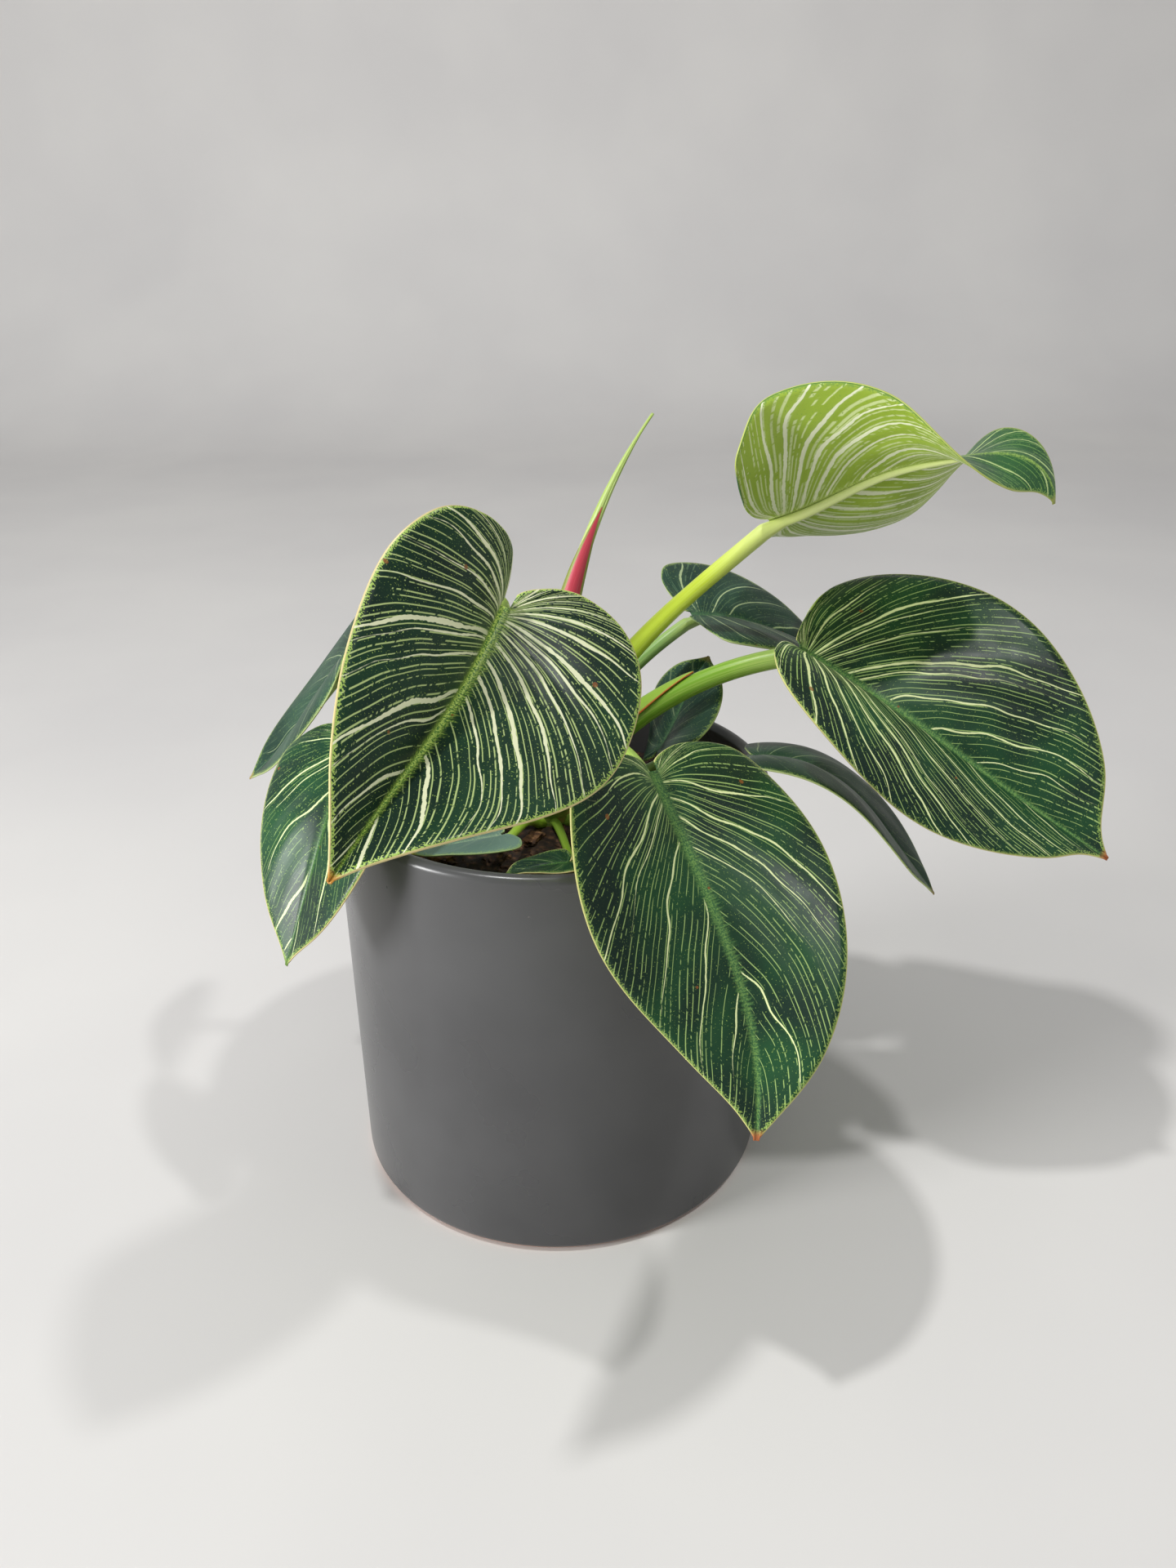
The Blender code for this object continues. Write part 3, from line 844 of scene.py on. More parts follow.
    def lay(self, column: int, row: int) -> Laid:
        """Place and attributes of one point of the blade.

        Args:
            column: its column in the grid.
            row: its row in the grid.

        Returns:
            Its place and its attributes.
        """
        form = self.form
        share = self.first + (1 - self.first) * row / self.rows
        middle = self.columns + 2
        half = 0 if column < middle else 1
        sign = Side.LEFT.value if half == 0 else Side.RIGHT.value
        steps = abs(column - middle)
        start, _, end = self.vein(half, share)
        out = max(steps - 2, 0) / self.columns
        flat = Vector((start.x * steps / 2, start.y)) if steps < 2 else self.on_vein(half, share, out)
        one = self.at(flat.y / (form.length * MM))
        fold = math.radians(form.fold[half])
        bend = math.radians(form.curl[half]) / (form.half_width[half] * MM)
        wide = (math.sin(fold + bend * flat.x) - math.sin(fold)) / bend
        lift = (math.cos(fold) - math.cos(fold + bend * flat.x)) / bend
        place = one.point + one.across * (sign * wide) + one.normal * lift
        slope = fold + bend * flat.x
        outward = one.normal * math.cos(slope) - one.across * (sign * math.sin(slope))
        place = place + outward * self.relief(half, share, out)
        rib = flat.x / max(self.rib_width(flat.y), 0.05 * MM)
        margin = (end - flat).length / MM
        ahead = min(share + self.pace_step, 1.0)
        here, there = (self.on_vein(half, where, out) for where in (ahead - self.pace_step, ahead))
        pace = (there - here).length / self.pace_step / MM
        known = {
            "pace": Vector((pace, form.length - flat.y / MM, 0.0)),
            "vein": Vector((sign * out, share, rib)),
            "blade": Vector((sign * flat.x / MM, flat.y / MM, margin)),
        }
        return place, known

    def build(self) -> bpy.types.Object:
        """Makes the blade with its two skins and its wall.

        Returns:
            The finished piece.
        """
        wide = 2 * (self.columns + 2)
        bm = lay_grid(wide, self.rows, self.lay)
        bmesh.ops.recalc_face_normals(bm, faces=bm.faces)
        bm.faces.ensure_lookup_table()
        face = bm.faces[len(bm.faces) // 2]
        layer = bm.verts.layers.float_vector["blade"]
        here = self.at(face.verts[0][layer].y / self.form.length)
        if face.normal.dot(here.normal) < 0:
            bmesh.ops.reverse_faces(bm, faces=bm.faces)
        name = self.form.name
        piece = finish_mesh(bm, f"blade_{name}", 80)
        plan = self.form.plan
        below = replace(plan, bold_width=plan.bold_width * 1.3, pin_width=plan.pin_width * 1.7)
        piece.data.materials.append(LeafSkin(f"waxy_upper_skin_{name}", self.form.upper, plan).build())
        piece.data.materials.append(LeafSkin(f"matt_under_skin_{name}", self.form.under, below).build())
        wall = piece.modifiers.new("wall", "SOLIDIFY")
        wall.thickness = self.thickness
        wall.offset = 0.0
        wall.use_quality_normals = True
        wall.material_offset = 1
        return piece


class StalkSkin:
    """Living stalk: smooth and full of water, so a satin skin with faint lengthwise streaks."""

    tone_places = (0.05, 0.45, 0.62)
    streak_stretch = (5.0, 9.0, 9.0)

    def __init__(self, name: str, low: str, high: str, end: str, fleck: str = "c9d77a") -> None:
        """Keeps the colours.

        Args:
            name: the material's name.
            low: colour of the stalk's foot.
            high: colour of its middle.
            end: colour of its far end.
            fleck: colour of its streaks.
        """
        self.name = name
        self.tones = (linear(low), linear(high), linear(end))
        self.fleck = linear(fleck)

    def build(self, on_object: bool = False) -> bpy.types.Material:
        """Makes the material.

        Args:
            on_object: whether it follows object coordinates and not the "stem" attribute.

        Returns:
            The material.
        """
        water = {"IOR": 1.42, "Coat Weight": 0.15, "Coat Roughness": 0.25}
        tree, shader = new_material(self.name, water)
        node = partial(add_node, tree)
        if on_object:
            stem = node("TexCoord").outputs["Object"]
        else:
            stem = node("Attribute", attribute_name="stem", attribute_type="GEOMETRY").outputs["Vector"]
        tone = node("ValToRGB", node("SeparateXYZ", stem), stops=tuple(zip(self.tone_places, self.tones)))
        stretch = node("Mapping", stem, inputs={"Scale": self.streak_stretch})
        streak = node("TexNoise", stretch, 1.0, 4.0)
        colour = node("Mix.RGBA", node("MapRange", streak, 0.48, 0.72, 0.0, 0.45), tone, self.fleck)
        rough = node("MapRange", streak, 0.0, 1.0, 0.28, 0.5)
        bump = node("Bump", inputs={"Height": streak, "Strength": 0.25, "Distance": 0.15 * MM})
        feed(tree, shader, {"Base Color": colour, "Roughness": rough, "Normal": bump})
        return bpy.data.materials[self.name]


class Stalk:
    """A leaf stalk that swells at its foot and runs on under the blade as the midrib."""

    steps = 46
    sides = 24
    ridges = 0.012

    def __init__(self, form: StalkForm, blade: Blade) -> None:
        """Keeps the stalk's form and the blade that it carries."""
        self.form = form
        self.blade = blade

    def route(self, steps: int) -> tuple[list[Vector], list[float]]:
        """Centre line and radii from beside the stem to under the blade.

        Args:
            steps: how many stretches.

        Returns:
            The points and the radius at each of them, in metres.
        """
        form = self.form
        base = self.blade.at(0.0)
        foot, neck = form.foot * MM, form.neck * MM
        start = direction(form.side, 0) * (POT.stem_radius + 2 * POT.gap + foot)
        start += UP * (POT.soil_top + form.height * MM)
        end = base.point - base.along * neck * 0.8 - base.normal * (neck + 0.4 * MM + POT.gap + 0.6 * MM)
        lead = start + direction(form.side, form.rise) * form.lead * MM
        tail = end - direction(form.arrive_heading, form.arrive_pitch) * form.tail * MM
        points = bezier((start, lead, tail, end), steps)
        radii = [foot + (neck - foot) * min(1.0, 1.4 * i / steps) for i in range(steps + 1)]
        return points, radii

    def root(self, start: Vector, radius: float, steps: int = 6) -> tuple[list[Vector], list[float]]:
        """The foot's last stretch, which bends level and grows into the stem.

        Args:
            start: where the stalk's own line begins.
            radius: the foot's radius.
            steps: how many stretches.

        Returns:
            The points and radii, from inside the stem outwards, without the start.
        """
        form = self.form
        inner = UP * (start.z - radius * 0.9)
        inner += direction(form.side, 0) * POT.stem_radius * 0.35
        tail = start - direction(form.side, form.rise) * radius * 1.2
        line = bezier((inner, inner.lerp(tail, 0.5), tail, start), steps)[:-1]
        return line, [radius * (1.12 - 0.12 * i / steps) for i in range(steps)]

    def keel(self, steps: int = 40, reach: float = 0.9) -> tuple[list[Vector], list[float]]:
        """The midrib under the blade, tucked against both halves.

        Args:
            steps: how many stretches.
            reach: the share of the blade's length that it runs.

        Returns:
            The points and radii.
        """
        left, right = (math.radians(a) for a in self.blade.form.fold)
        points, radii = [], []
        for i in range(steps + 1):
            share = 0.05 + (reach - 0.05) * i / steps
            one = self.blade.at(share)
            over = one.across * math.cos(right) + one.normal * math.sin(right)
            over -= one.normal * math.sin(left) - one.across * math.cos(left)
            over.normalize()
            up = (one.normal - over * one.normal.dot(over)).normalized()
            radius = self.form.neck * MM * 0.62 * (1 - share) ** 1.2 + 0.25 * MM
            deep = radius / max(math.cos((left + right) / 2), 0.4) + 0.5 * MM
            points.append(one.point - up * deep)
            radii.append(radius)
        return points, radii

    def build(self) -> bpy.types.Object:
        """Makes the stalk with its skin.

        Returns:
            The finished piece.
        """
        points, radii = self.route(self.steps)
        inner, wide = self.root(points[0], radii[0])
        under, thin = self.keel()
        bm = tube(inner + points + under, wide + radii + thin, self.sides, self.ridges)
        name = self.form.leaf
        piece = finish_mesh(bm, f"stalk_{name}", 60)
        form = self.form
        skin = StalkSkin(f"stalk_skin_{name}", form.low_tone, form.high_tone, form.keel_tone)
        piece.data.materials.append(skin.build())
        return piece


# ---------------------------------------------------------------- the plant's tables

DARK = LeafColours(
    deep="142f23", fresh="1d4a2a", cream="dfe9b0", pin="8fb066", rib="6f9a4c", rib_dark="3c6a34",
    tip="6a8a3c",
)  # fmt: skip
GREY = LeafColours(
    deep="1d382c", fresh="2a4b39", halo="47694f", pin="7f9f76", cream="c5d6a0", rib="5f8a55",
    rib_dark="44694a", line="a9b878", tip="9a8a50", roughness=0.42, spots=0.4,
)  # fmt: skip
FRONT = LeafColours(
    deep="152b21", fresh="1f4a2a", cream="e6efb0", pin="a9c677", rib="7fa95a", rib_dark="467544",
    line="c9c77e", tip="a8643c",
)  # fmt: skip
TOP = LeafColours(
    deep="234f2a", fresh="2f6431", halo="5f8f48", pin="6f9a50", cream="b9d088", rib="9fc05a",
    rib_dark="5f8a40", band="7fa550", line="b9c46a", tip="a9b05a", spots=0.0,
)  # fmt: skip
GLAUCOUS = LeafColours(
    deep="56736a", fresh="6f8b80", halo="84a093", pin="98b09e", cream="c3d29c", rib="a9bf9c",
    rib_dark="8aa58c", line="a9bf86", roughness=0.5, spots=0.0, tip="cbb73c",
)  # fmt: skip
GREY_UNDER = LeafColours(
    deep="5d7c50", fresh="6d8a5f", halo="7f9a6a", pin="8fa878", cream="b9c99a", rib="a9c07c",
    rib_dark="8fa96a", band="5f8a3c", line="88a05a", tip="9a9a50", roughness=0.5, spots=0.0,
)  # fmt: skip

BLADES = (
    BladeForm(
        "front_left", -97, 4, 124, 118, (54, 58), (-115, -111, -113), (-40, -15, -19),
        (-51, -34, -16), (25, 67), (-25, -50), (0.11, 0.09), 0.02,
        StripePlan(bold=17, pins=70, bold_width=1.6, pin_width=0.55, dash=0.38, seed=1.0),
    ),
    BladeForm(
        "front_right", -66, 0, 60, 129, (52, 52), (-56, -63, -102), (-45, -47, -47),
        (-21, 4, -2), (11, 19), (-8, -26), (0.06, 0.04), 0.0,
        StripePlan(
            bold=10, pins=60, bold_width=1.0, pin_width=0.45, pin_strength=0.8,
            dash=0.39, rib=0.7, band=0.5, seed=2.0,
        ),
        FRONT,
    ),
    BladeForm(
        "right", -5, 8, 77, 143, (69, 48), (-26, -18, -33), (-22, -33, -25),
        (-14, 17, 18), (30, 19), (-5, -50), (0.04, 0.02), 0.11,
        StripePlan(
            bold=16, pins=70, bold_width=1.1, pin_width=0.5, pin_strength=0.85,
            dash=0.39, rib=0.8, band=0.5, seed=3.0,
        ),
        FRONT,
    ),
    BladeForm(
        "top_right", 12, 0, 122, 121, (60, 62), (-11, -17, -19, -19, -12), (17, 29, 15, -1, -86),
        (-31, -44, -35, 5, 25), (-9, -14), (47, 44), (0.03, 0.04), -0.03,
        StripePlan(bold=18, pins=64, bold_width=1.5, pin_width=0.7, dash=0.40, rib=0.9, seed=4.0),
        TOP,
    ),
    BladeForm(
        "back_right", 33, -18, 76, 76, (37, 37), (20, 12, 1), (-5, -25, -33),
        (6, 5, -8), (23, 21), (-13, -36), (0.07, 0.07), 0.0,
        StripePlan(
            bold=9, pins=40, bold_width=0.9, bold_strength=0.7, pin_strength=0.35,
            rib=0.5, band=0.4, seed=5.0,
        ),
        GREY, GREY_UNDER,
    ),
    BladeForm(
        "back_small", 23, -41, 21, 49, (26, 26), (45, 46, 52), (46, 50, 29),
        (-28, -5, 19), (11, 21), (-55, -34), (0.08, 0.07), 0.04,
        StripePlan(
            bold=6, pins=24, bold_width=0.7, bold_strength=0.3, pin_strength=0.2,
            rib=0.6, band=0.4, seed=6.0,
        ),
        GREY, GREY_UNDER,
    ),
    BladeForm(
        "low_right", -12, -7, 35, 100, (33, 33), (-5, -12, -12), (6, -46, -53),
        (-13, -5, 9), (13, 18), (-30, -29), (0.03, 0.03), 0.0,
        StripePlan(
            bold=6, pins=30, bold_width=0.8, bold_strength=0.4, pin_strength=0.25,
            rib=0.5, band=0.3, seed=7.0,
        ),
        GREY, GREY_UNDER,
    ),
    BladeForm(
        "low_left", -159, -9, 52, 93, (40, 40), (-104, -125, -142), (-36, -60, -68),
        (23, 5, -6), (22, 13), (-25, -31), (0.10, 0.09), 0.0,
        StripePlan(
            bold=9, pins=40, bold_width=1.1, bold_strength=0.85, pin_strength=0.5,
            rib=0.5, band=0.6, seed=8.0,
        ),
        DARK,
    ),
    BladeForm(
        "back_left", 167, -9, 73, 87, (37, 37), (164, 168, 174), (-52, -51, -41),
        (-5, -5, -12), (14, 23), (-43, -14), (0.10, 0.10), 0.0,
        StripePlan(
            bold=6, pins=30, bold_width=0.9, bold_strength=0.4, pin_strength=0.3,
            rib=0.5, band=0.4, seed=9.0,
        ),
        GREY, GREY_UNDER,
    ),
    BladeForm(
        "inside_left", -113, -42, 16, 38, (16, 16), (-150, -158, -165), (6, 0, -8),
        (0, 0, 0), (12, 12), (-10, -10), (0.08, 0.08), 0.0,
        StripePlan(
            bold=4, pins=16, bold_width=0.8, bold_strength=0.2, pin_strength=0.15,
            rib=0.6, band=0.3, seed=10.0,
        ),
        GLAUCOUS, GREY_UNDER,
    ),
    BladeForm(
        "inside_front", -83, -28, 13, 27, (9, 9), (200, 205, 210), (8, 2, -6),
        (0, 0, 0), (10, 10), (-10, -10), (0.06, 0.06), 0.0,
        StripePlan(
            bold=4, pins=16, bold_width=0.6, bold_strength=0.3, pin_strength=0.2,
            rib=0.6, band=0.3, seed=11.0,
        ),
        DARK, GREY_UNDER,
    ),
)  # fmt: skip

STALKS = (
    StalkForm("front_left", -100, 27, 62, 40, -97, 45, 35, 4.4, 3.3),
    StalkForm("front_right", -58, 17, 60, 34, -67, -12, 26, 4.4, 3.4),
    StalkForm("right", -8, 22, 62, 28, -4, 10, 34, 5.2, 4.0, "6a962c", "74a02a"),
    StalkForm("top_right", 24, 34, 74, 32, 9, 38, 45, 4.8, 3.4, "a3c030", "b9cc34", "dbe59a"),
    StalkForm("back_right", 62, 20, 55, 26, 30, 22, 18, 3.8, 2.8, "6c9348", "7a9f58"),
    StalkForm("back_small", 50, 3, 48, 12, 15, 40, 12, 2.6, 2.0, "6c9348", "7a9f58"),
    StalkForm("low_right", -32, 3, 40, 22, -10, 12, 22, 3.0, 2.4, "7fa63c", "7f9f52"),
    StalkForm("low_left", -150, 12, 58, 26, -160, 4, 26, 3.6, 2.8),
    StalkForm("back_left", 165, 22, 62, 30, -176, 10, 26, 3.6, 2.8),
    StalkForm("inside_left", -128, 3, 40, 10, -115, 5, 12, 2.4, 1.8, "9cc03c", "a3c83e"),
    StalkForm("inside_front", -84, 3, 30, 12, -86, 5, 14, 2.0, 1.5),
)


# ---------------------------------------------------------------- sheaths and new leaf


@dataclass(frozen=True)
class SheathFinish:
    """Colours of a sheath: its back, its edges, its foot and its pale streaks, which on the red sheath
    are painted highlights.
    """

    name: str
    back: str
    edge: str
    foot: str
    streak: str
    edge_start: float
    roughness: float = 0.42


GREEN_SHEATH = SheathFinish("green_sheath", "86a83a", "c2642f", "6f9a35", "a9c25a", 1.02)
# The red sheath's pale pink streak colour is a painted highlight on its glossy skin.
RED_SHEATH = SheathFinish("red_sheath", "b8384a", "7f8c3c", "c9605e", "e09a94", 0.78)


class SheathSkin:
    """Papery sheath: thin living tissue with red sap towards its edges or all over."""

    def __init__(self, finish: SheathFinish) -> None:
        """Keeps the finish."""
        self.finish = finish

    def build(self) -> bpy.types.Material:
        """Makes the material from "sheath": across from -1 to 1, and share along.

        Returns:
            The material, made once for each finish.
        """
        finish = self.finish
        name = finish.name
        found = bpy.data.materials.get(name)
        if found:
            return found
        tree, shader = new_material(name, {"IOR": 1.4, "Roughness": finish.roughness})
        node = partial(add_node, tree)
        spot = node("Attribute", attribute_name="sheath", attribute_type="GEOMETRY").outputs["Vector"]
        across, along, _ = node("SeparateXYZ", spot).outputs
        stops = ((0.0, linear(finish.foot)), (0.45, linear(finish.back)))
        foot = node("ValToRGB", along, stops=stops)
        stretch = node("Mapping", spot, inputs={"Scale": (9.0, 2.0, 1.0)})
        streak = node("TexNoise", stretch, 2.0, 4.0)
        ragged = node("Math.MULTIPLY_ADD", streak, 0.35, node("Math.ABSOLUTE", across))
        edge = node("MapRange.SMOOTHSTEP", ragged, finish.edge_start, finish.edge_start + 0.12)
        colour = node("Mix.RGBA", edge, foot, linear(finish.edge))
        # Pale lengthwise streaks; on the red sheath they are painted highlights.
        pale = node("MapRange", streak, 0.5, 1.0, 0.0, 0.5)
        skin = node("Mix.RGBA", pale, colour, linear(finish.streak))
        bump = node("Bump", inputs={"Height": streak, "Strength": 0.3, "Distance": 0.2 * MM})
        feed(tree, shader, {"Base Color": skin, "Normal": bump})
        return bpy.data.materials[name]


class Sheath:
    """A thin pointed sheet that clasps a round line."""

    thickness = 0.6 * MM
    columns = 14

    def __init__(self, name: str, node: str, finish: SheathFinish, slot: str) -> None:
        """Keeps what the sheath is.

        Args:
            name: the piece's name.
            node: the CAD node that it stands for.
            finish: its colours.
            slot: not used; it is only passed on to stand_for.
        """
        self.name = name
        self.node = node
        self.finish = finish
        self.slot = slot

    def build(
        self, points: Sequence[Vector], radii: Sequence[float], wrap: float, facing: Vector
    ) -> bpy.types.Object:
        """Wraps the sheet round the line.

        Args:
            points: the line, foot first.
            radii: how far out the sheet's middle lies at each point.
            wrap: how far it reaches round at the foot, in degrees.
            facing: where the middle of the sheet faces.

        Returns:
            The finished piece.
        """
        rows, columns = len(points) - 1, self.columns

        def lay(column: int, row: int) -> Laid:
            """Place and attributes of one point of the sheath.

            Args:
                column: its column in the grid.
                row: its row in the grid.

            Returns:
                Its place and its attributes.
            """
            ahead = points[min(row + 1, rows)] - points[max(row - 1, 0)]
            side = ahead.cross(facing).normalized()
            top = side.cross(ahead).normalized()
            share, out = row / rows, 2 * column / columns - 1
            angle = math.radians(wrap / 2 * out * (1.0 - share**2.4 * 0.96))
            sunk = 1.0 * MM * max(0.0, 1 - share / 0.14) ** 2
            flare = radii[row] - sunk + 0.5 * MM * abs(out) ** 4 * (1 - share)
            place = points[row] + (side * math.sin(angle) + top * math.cos(angle)) * flare
            return place, {"sheath": Vector((out, share, 0.0))}

        piece = finish_mesh(lay_grid(columns, rows, lay), self.name, 80)
        piece.data.materials.append(SheathSkin(self.finish).build())
        wall = piece.modifiers.new("wall", "SOLIDIFY")
        wall.thickness = self.thickness
        wall.offset = 0.0
        stand_for(piece, self.slot, self.node)
        return piece


class NewLeaf:
    """The rolled leaf on top of the stem and the two halves of sheath that it parts."""

    height = 121 * MM
    lean = 41 * MM
    radius = 4.2 * MM
    covered = 0.67
    steps = 60
    columns = 34
    turns = 1.22
    roll_wall = 0.4 * MM
    sheath_clear = 0.95 * MM
    sheath_wrap = 190

    def route(self, steps: int) -> tuple[list[Vector], list[float]]:
        """Centre line and radii of the rolled leaf.

        Args:
            steps: how many stretches.

        Returns:
            The points and radii.
        """
        start = UP * (POT.stem_top + 2 * POT.gap)
        end = start + Vector((self.lean, 0, self.height))
        lead = start + Vector((0.08, 0, 1)) * self.height * 0.4
        tail = end - Vector((0.58, 0, 0.81)) * self.height * 0.3
        points = bezier((start, lead, tail, end), steps)
        radii = [self.radius * max(0.1, 1 - (i / steps) ** 1.3) for i in range(steps + 1)]
        return points, radii

    def build(self) -> None:
        """Makes the rolled leaf and its sheath."""
        steps, columns = self.steps, self.columns
        points, radii = self.route(steps)
        ahead = points[-1] - points[0]
        side = ahead.cross(Vector((0, 1, 0))).normalized()

        def lay(column: int, row: int) -> Laid:
            """Place and attributes of a point of the roll, whose edge overlaps like a scroll.

            Args:
                column: its column in the grid.
                row: its row in the grid.

            Returns:
                Its place and its attributes.
            """
            turn = math.tau * self.turns * column / columns + 1.9 + 1.4 * row / steps
            away = radii[row] * (0.80 + 0.20 * column / columns)
            around = side * math.cos(turn) + Vector((0, 1, 0)) * math.sin(turn)
            known = {"stem": Vector((row / steps, math.cos(turn), math.sin(turn)))}
            return points[row] + around * away, known

        roll = finish_mesh(lay_grid(columns, steps, lay), "rolled_new_leaf", 80)
        skin = StalkSkin("rolled_leaf_skin", "a9b85a", "c4cf83", "9fb85a", "eef0c4")
        roll.data.materials.append(skin.build())
        wall = roll.modifiers.new("wall", "SOLIDIFY")
        wall.thickness = self.roll_wall
        wall.offset = 0.0
        stand_for(roll, "new_leaf", "new_leaf")
        last = round(steps * self.covered)
        for name, facing, count in (("front", -1, last + 1), ("back", 1, last - 2)):
            sheath = Sheath(f"new_sheath_{name}", f"new_leaf_sheath_{name}", RED_SHEATH, "new_sheath")
            out = [radius + self.sheath_clear for radius in radii[:count]]
            sheath.build(points[:count], out, self.sheath_wrap, Vector((0, facing, 0)))


# ---------------------------------------------------------------- stem


class Stem:
    """Short stem with the rings and scars of old leaves."""

    buried = 32 * MM
    taper = 16 * MM
    rows = 45
    ring_rows = 9
    sides = 48

    def build(self) -> None:
        """Makes the stem and its skin."""
        low, top = POT.soil_top - self.buried, POT.stem_top
        profile = [(0.0, low), (POT.stem_radius * 0.55, low), (POT.stem_radius, low + self.taper)]
        first, last = POT.soil_top - 10 * MM, top - 3 * MM
        for row in range(self.rows + 1):
            z = first + (last - first) * row / self.rows
            shrink = 1.0 - 0.28 * max(0.0, (row - 24) / 21)
            ring = 0.045 * math.cos(math.tau * row / self.ring_rows) ** 6
            profile.append((POT.stem_radius * (shrink + ring - 0.03), z))
        profile += [(POT.stem_radius * 0.6, top), (0.0, top)]
        bm = turned(profile, self.sides)
        for vert in bm.verts:
            bump = 1 + 0.05 * noise.noise(vert.co * 220)
            vert.co.x, vert.co.y = vert.co.x * bump, vert.co.y * bump
        piece = finish_mesh(bm, "ringed_stem", 60)
        piece.data.materials.append(self.skin())
        stand_for(piece, "stem", "main_stem")

    def skin(self) -> bpy.types.Material:
        """Green stem tissue with corky tan scars, so rough and mottled.

        Returns:
            The material.
        """
        tree, shader = new_material("corky_stem", {"IOR": 1.45})
        node = partial(add_node, tree)
        place = node("TexCoord").outputs["Object"]
        stretch = node("Mapping", place, inputs={"Scale": (1.0, 1.0, 4.0)})
        cork = node("TexNoise", stretch, 160.0, 6.0)
        stops = ((0.40, linear("5f7d33")), (0.55, linear("86873f")), (0.68, linear("9a7748")))
        tone = node("ValToRGB", cork, stops=stops)
        rough = node("MapRange", cork, 0.0, 1.0, 0.45, 0.85)
        bump = node("Bump", inputs={"Height": cork, "Strength": 0.6, "Distance": 0.4 * MM})
        feed(tree, shader, {"Base Color": tone, "Roughness": rough, "Normal": bump})
        return bpy.data.materials["corky_stem"]


# ---------------------------------------------------------------- mix, bark and roots


class Ground:
    """Potting mix of peat and fine bark, with flakes of bark and crumbs on it."""

    crumbs = 800
    crumb_mm = (0.8, 2.4)
    big_crumbs = 0.12
    crumb_seed = 11
    chip_count = 8
    chip_size = 11 * MM
    root_count = 5
    rings = 64
    sides = 180

    def height(self, x: float, y: float) -> float:
        """Height of the mix at a place, with its lumps.

        Args:
            x: the place across.
            y: the place in depth.

        Returns:
            The height in metres.
        """
        share = min(math.hypot(x, y) / (POT.radius - POT.wall), 1.0)
        calm = 1 - share**6
        spot = Vector((x, y, 0.0))
        lump = noise.fractal(spot * 90, 1.0, 2.1, 4) * 1.5 * MM
        return POT.soil_top - POT.soil_crown * share * share + lump * calm

    def build(self) -> None:
        """Makes the bed, the crumbs and the flakes."""
        bore = POT.radius - POT.wall - POT.gap
        rings = self.rings
        profile = [(0.0, POT.floor + POT.gap), (bore, POT.floor + POT.gap)]
        edge = POT.soil_top - POT.soil_crown
        profile += [(bore * k / rings, edge) for k in range(rings, -1, -1)]
        bm = turned(profile, self.sides)
        for vert in bm.verts:
            if vert.co.z > edge - 1 * MM:
                vert.co.z = self.height(vert.co.x, vert.co.y)
        bed = finish_mesh(bm, "potting_bed", 80)
        bed.data.materials.append(self.peat("peat_and_bark_mix", "1c130d", "38261a", "6b4c33"))
        stand_for(bed, "mix", "potting_mix")
        crumbs = finish_mesh(self.scatter(), "bark_crumbs", 35)
        crumbs.data.materials.append(self.peat("fine_bark", "2a1b12", "4c3422", "866040"))
        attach(crumbs, "root")
        LOG.info("bark_crumbs: %d faces", len(crumbs.data.polygons))
        bark = self.peat("pine_bark_flake", "3f291b", "6c4a30", "a37c55")
        for index in range(self.chip_count):
            self.flake(index, bark)

    def scatter(self) -> bmesh.types.BMesh:
        """Crumbs of bark and peat, each a small squashed ball, strewn over the mix.

        Returns:
            All the crumbs as one mesh.
        """
        draw = random.Random(self.crumb_seed)
        noise.seed_set(self.crumb_seed)
        bm = bmesh.new()
        for _ in range(self.crumbs):
            away = (POT.radius - POT.wall - 3 * MM) * math.sqrt(draw.uniform(0.012, 1.0))
            side = draw.uniform(0, math.tau)
            x, y = away * math.cos(side), away * math.sin(side)
            size = draw.uniform(*self.crumb_mm) * MM * (1.7 if draw.random() < self.big_crumbs else 1.0)
            wide, high = size * draw.uniform(0.45, 0.9), size * draw.uniform(0.25, 0.6)
            shape = Matrix.Diagonal((size, wide, high, 1))
            turn = Matrix.Rotation(draw.uniform(0, math.tau), 4, "Z")
            tip = Matrix.Rotation(draw.uniform(-0.5, 0.5), 4, "X")
            spot = Matrix.Translation((x, y, self.height(x, y) + size * 0.12))
            place = spot @ turn @ tip @ shape
            made = bmesh.ops.create_icosphere(bm, subdivisions=1, radius=1.0, matrix=place)
            for vert in made["verts"]:
                vert.co += noise.noise_vector(vert.co * 900) * size * 0.22
        bmesh.ops.recalc_face_normals(bm, faces=bm.faces)
        return bm

    def flake(self, index: int, bark: bpy.types.Material) -> None:
        """One flake of bark, split along its grain, where its CAD chip lies.

        Args:
            index: which of the chips.
            bark: its material.
        """
        node = f"bark_chip_{index + 1}"
        low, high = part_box(node)
        size = self.chip_size * (0.75 + 0.5 * ((index * 7) % 5) / 4)
        turn = Matrix.Rotation(math.radians((137.5 * index + 250) * 1.7), 4, "Z")
        shape = Matrix.Diagonal((size, size * 0.62, size * 0.30, 1))
        bm = bmesh.new()
        bmesh.ops.create_cube(bm, size=1.0)
        bmesh.ops.subdivide_edges(bm, edges=bm.edges, cuts=5, use_grid_fill=True)
        bmesh.ops.bevel(
            bm, geom=[e for e in bm.edges if len(e.link_faces) == 2 and e.calc_face_angle() > 1.0],
            offset=0.07, segments=2, profile=0.5, affect="EDGES", material=-1,
        )  # fmt: skip
        for vert in bm.verts:
            grain = noise.noise(Vector((vert.co.x * 1.5 + index, vert.co.y * 9, vert.co.z * 7)))
            rough = noise.noise(vert.co * 2.4 + Vector((index * 3.7, 0, 0)))
            vert.co *= 1 + 0.10 * grain + 0.38 * rough
        bm.transform(Matrix.Translation((low + high) / 2) @ turn @ shape)
        bmesh.ops.recalc_face_normals(bm, faces=bm.faces)
        piece = finish_mesh(bm, f"bark_flake_{index + 1}", 50)
        piece.data.materials.append(bark)
        stand_for(piece, "bark", node)

